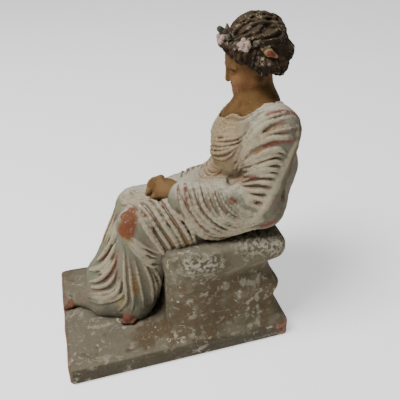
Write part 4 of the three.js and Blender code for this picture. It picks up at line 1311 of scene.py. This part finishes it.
def wreath_paint(name, colour, pale_share):
    paint = Paint(name, colour, 0.85)
    paint.coat(WHITE_SLIP_AND_HIGHLIGHT, paint.blotches(0.5, 0.62, 2.2, 4), pale_share)
    paint.coat(FOLD_BROWN, paint.blotches(0.55, 0.65, 1.6, 4, 0.3, 5), 0.7)
    return paint


# Brown patches low on the seat's near face and on the slab by its foot, and bare pale patches of seat and
# slab
BROWN_PATCHES = [
    (30.0, [12, -46, 22], [34, -46, 26], [52, -46, 20]),
    (17.0, [-24, -33, 0], [-8, -38, 0], [10, -46, 0]),
]
PALE_PATCHES = [
    (13.0, [44, -38, 67], [56, -42, 66], [68, -42, 64]),
    (9.0, [8, -46, 60], [22, -47, 58]),
]
# How far the red reaches in from the slab's front and from its corner, and how near the cloth the stone is
# darkened with painted shade
FRONT_RED = 3
CORNER_RED = 9
CLOTH_SHADE_REACH = 6


def stone_masks(points):
    x, y, z = points.T
    front = np.clip((FRONT_RED - (x + SLAB_LENGTH / 2)) / FRONT_RED, 0, 1)
    to_corner = np.hypot(x - SLAB_LENGTH / 2, np.maximum(y + SLAB_WIDTH / 2, 0))
    corner = np.clip(1.3 - to_corner / CORNER_RED, 0, 1) * (z < SLAB_THICKNESS + 1)
    return {
        "edge": edges(stone_clay, points),
        "pit": pits(stone_clay, points, 4),
        "red": np.maximum(front, corner),
        "brown": painted(points, BROWN_PATCHES),
        "pale": painted(points, PALE_PATCHES),
        "upward": facing_up(stone_clay, points),
        "cloth_shade": np.clip(1 - cloth_clay.at(points) / CLOTH_SHADE_REACH, 0, 1),
    }


def stone_paint():
    paint = Paint("worn slip on seat and slab", SEAT_OLIVE, 0.92)
    grain = paint.noise(1.8, 5)
    paint.coat(SEAT_GREY, paint.blotches(0.4, 0.62, 16, 4, 0.4))
    # Paler dust on faces turned up, and with it painted top light
    paint.coat(SEAT_DUST_AND_TOP_LIGHT, paint.rise(paint.mask("upward"), 0.3, 0.9), 0.5)
    # Random brown blotches, and the seat's near face and the slab by its foot made browner and darker
    browned = paint.plus(paint.noise(12, 5, 0.5, 3), paint.times(paint.mask("brown"), 0.22))
    paint.coat(SEAT_BROWN, paint.rise(browned, 0.56, 0.72), 0.8)
    # Painted shade: the moulding's hollows are darkened
    paint.coat(SEAT_DARK, paint.rise(paint.mask("pit"), 0.3, 0.9), 0.7)
    # Painted shade: the stone is darkened close beside and under the cloth
    paint.coat(SEAT_DARK, paint.rise(paint.mask("cloth_shade"), 0.45, 1.0), 0.45)
    scuffed = paint.blotches(0.46, 0.62, 18, 3, 0.3, 8)
    scuffs = paint.blotches(0.52, 0.61, 5, 9, 0.15, 6)
    paint.coat(SEAT_SCUFF, scuffed, scuffs, 0.48)
    dabs = paint.blotches(0.59, 0.66, 3, 8, 0.2, 24)
    paint.coat(SEAT_PALE, paint.blotches(0.5, 0.62, 15, 2, 0, 25), dabs, 0.75)
    paint.coat(SEAT_PALE, paint.mask("pale"), paint.blotches(0.47, 0.57, 2.4, 7, 0.2, 41), 0.8)
    paint.coat(SEAT_SCUFF, paint.scratches(13, 0.012, 12), paint.blotches(0.5, 0.6, 5, 4, 0, 14), 0.55)
    paint.coat(SEAT_SCUFF, paint.rise(paint.plus(paint.mask("edge"), grain), 1.05, 1.35), 0.55)
    paint.coat(SLAB_RED, paint.mask("red"), paint.blotches(0.4, 0.55, 3, 4, 0.4, 16), 0.9)
    paint.coat(SEAT_DARK, paint.blotches(0.66, 0.72, 1.2, 3, 0, 18), 0.7)
    paint.coat(SEAT_GREY, paint.rise(grain, 0.35, 0.7), 0.25)
    return paint.finish((paint.noise(4, 5, 0.4, 20), 0.7), (grain, 0.25))


def floor_paint():
    paint = Paint("pale floor", FLOOR_WHITE)
    paint.coat(FLOOR_SHADE, paint.noise(60, 2), 0.15)
    paint.shader.inputs["Emission Color"].default_value = (1, 1, 1, 1)
    paint.shader.inputs["Emission Strength"].default_value = FLOOR_GLOW
    return paint.finish()


cloth_clay, bare_field = drapery()
skin_clay = skin()
hair_clay = hair()
rosette_clay = rosettes()
bud_clay = buds()
leaf_clay = leaves()
hand_clay = hands()
foot_clay = feet()
stone_clay = stone()


def bud_masks(points):
    hearts = [(1.9, [7.6, side * 18, 7.4], [9.8, side * 17.4, 5]) for side in (NEAR, FAR)]
    return {"heart": painted(points, head_routes(hearts))}


def limb_masks(clay):
    def masks(points):
        none = np.zeros(len(points))
        return {"pit": pits(clay, points, 2), "dark": none, "lips": none, "cheek": none}
    return masks


piece("drapery", cloth_clay, cloth_paint(), cloth_masks, CLOTH_TRIANGLES)
piece("head_and_neck", skin_clay, skin_paint("painted skin", SKIN_TONE), skin_masks)
piece("hair", hair_clay, hair_paint(), hair_masks)
rosette_paint = wreath_paint("rosette paint", ROSETTE_PINK, 0.5)
piece("wreath_rosettes", rosette_clay, rosette_paint.finish())
bud_paint = wreath_paint("bud paint", CREAM_SLIP, 0.4)
bud_paint.coat(RED_PAINT, bud_paint.rise(bud_paint.mask("heart"), 0.05, 0.4))
piece("wreath_buds", bud_clay, bud_paint.finish(), bud_masks)
leaf_paint = wreath_paint("leaf paint", LEAF_DARK, 0.25)
piece("wreath_leaves", leaf_clay, leaf_paint.finish())
piece("hands", hand_clay, skin_paint("hand paint", HAND_TONE), limb_masks(hand_clay))
piece("feet", foot_clay, skin_paint("foot paint", FOOT_TONE), limb_masks(foot_clay))
piece("seat_and_slab", stone_clay, stone_paint(), stone_masks)

# Floor, light and camera
FLOOR_SIZE = 4.0
floor_mesh = bpy.data.meshes.new("floor")
corners = ((-0.5, -0.5), (0.5, -0.5), (0.5, 0.5), (-0.5, 0.5))
floor_mesh.from_pydata([(x * FLOOR_SIZE, y * FLOOR_SIZE, 0) for x, y in corners], [], [range(4)])
floor_mesh.materials.append(floor_paint())
floor = bpy.data.objects.new("floor", floor_mesh)
bpy.context.scene.collection.objects.link(floor)

world = bpy.data.worlds.new("studio")
bpy.context.scene.world = world
world.use_nodes = True
SKY_AIM = (-0.5, 0.0, 0.87)
SKY_START = -0.1
SKY_LOW = 0.1
SKY_HIGH = 4.4
sky = world.node_tree.nodes["Background"]
way = world.node_tree.nodes.new("ShaderNodeTexCoord")
facing = world.node_tree.nodes.new("ShaderNodeVectorMath")
facing.operation = "DOT_PRODUCT"
facing.inputs[1].default_value = SKY_AIM
shade = world.node_tree.nodes.new("ShaderNodeMapRange")
shade.interpolation_type = "SMOOTHSTEP"
shade.inputs["From Min"].default_value = SKY_START
shade.inputs["From Max"].default_value = 1.0
shade.inputs["To Min"].default_value = SKY_LOW
shade.inputs["To Max"].default_value = SKY_HIGH
world.node_tree.links.new(way.outputs["Generated"], facing.inputs[0])
world.node_tree.links.new(facing.outputs["Value"], shade.inputs["Value"])
world.node_tree.links.new(shade.outputs["Result"], sky.inputs["Strength"])


def soft_light(name, place, aim, size, power):
    lamp = bpy.data.lights.new(name, "AREA")
    lamp.size = size
    lamp.energy = power
    holder = bpy.data.objects.new(name, lamp)
    holder.location = place
    holder.rotation_euler = (Vector(aim) - Vector(place)).to_track_quat("-Z", "Y").to_euler()
    bpy.context.scene.collection.objects.link(holder)


soft_light("key light", place=(-0.6, -0.15, 1.2), aim=(0, 0, 0.08), size=0.6, power=24)

CAMERA_PLACE = Vector((-0.0447, -0.2633, 0.2612))
CAMERA_AZIMUTH = math.radians(-15.1)
CAMERA_ELEVATION = math.radians(32.5)
CAMERA_ROLL = math.radians(-1.5)
camera = bpy.data.cameras.new("camera")
camera.lens = 45
camera.sensor_width = 36
viewer = bpy.data.objects.new("camera", camera)
back = Vector((
    math.sin(CAMERA_AZIMUTH) * math.cos(CAMERA_ELEVATION),
    -math.cos(CAMERA_AZIMUTH) * math.cos(CAMERA_ELEVATION),
    math.sin(CAMERA_ELEVATION),
))
right = Vector((math.cos(CAMERA_AZIMUTH), math.sin(CAMERA_AZIMUTH), 0))
up = back.cross(right)
c, s = math.cos(CAMERA_ROLL), math.sin(CAMERA_ROLL)
turned = Matrix([c * right + s * up, -s * right + c * up, back]).transposed()
viewer.matrix_world = Matrix.LocRotScale(CAMERA_PLACE, turned.to_quaternion(), None)
camera.clip_start = 0.01
bpy.context.scene.collection.objects.link(viewer)
bpy.context.scene.camera = viewer
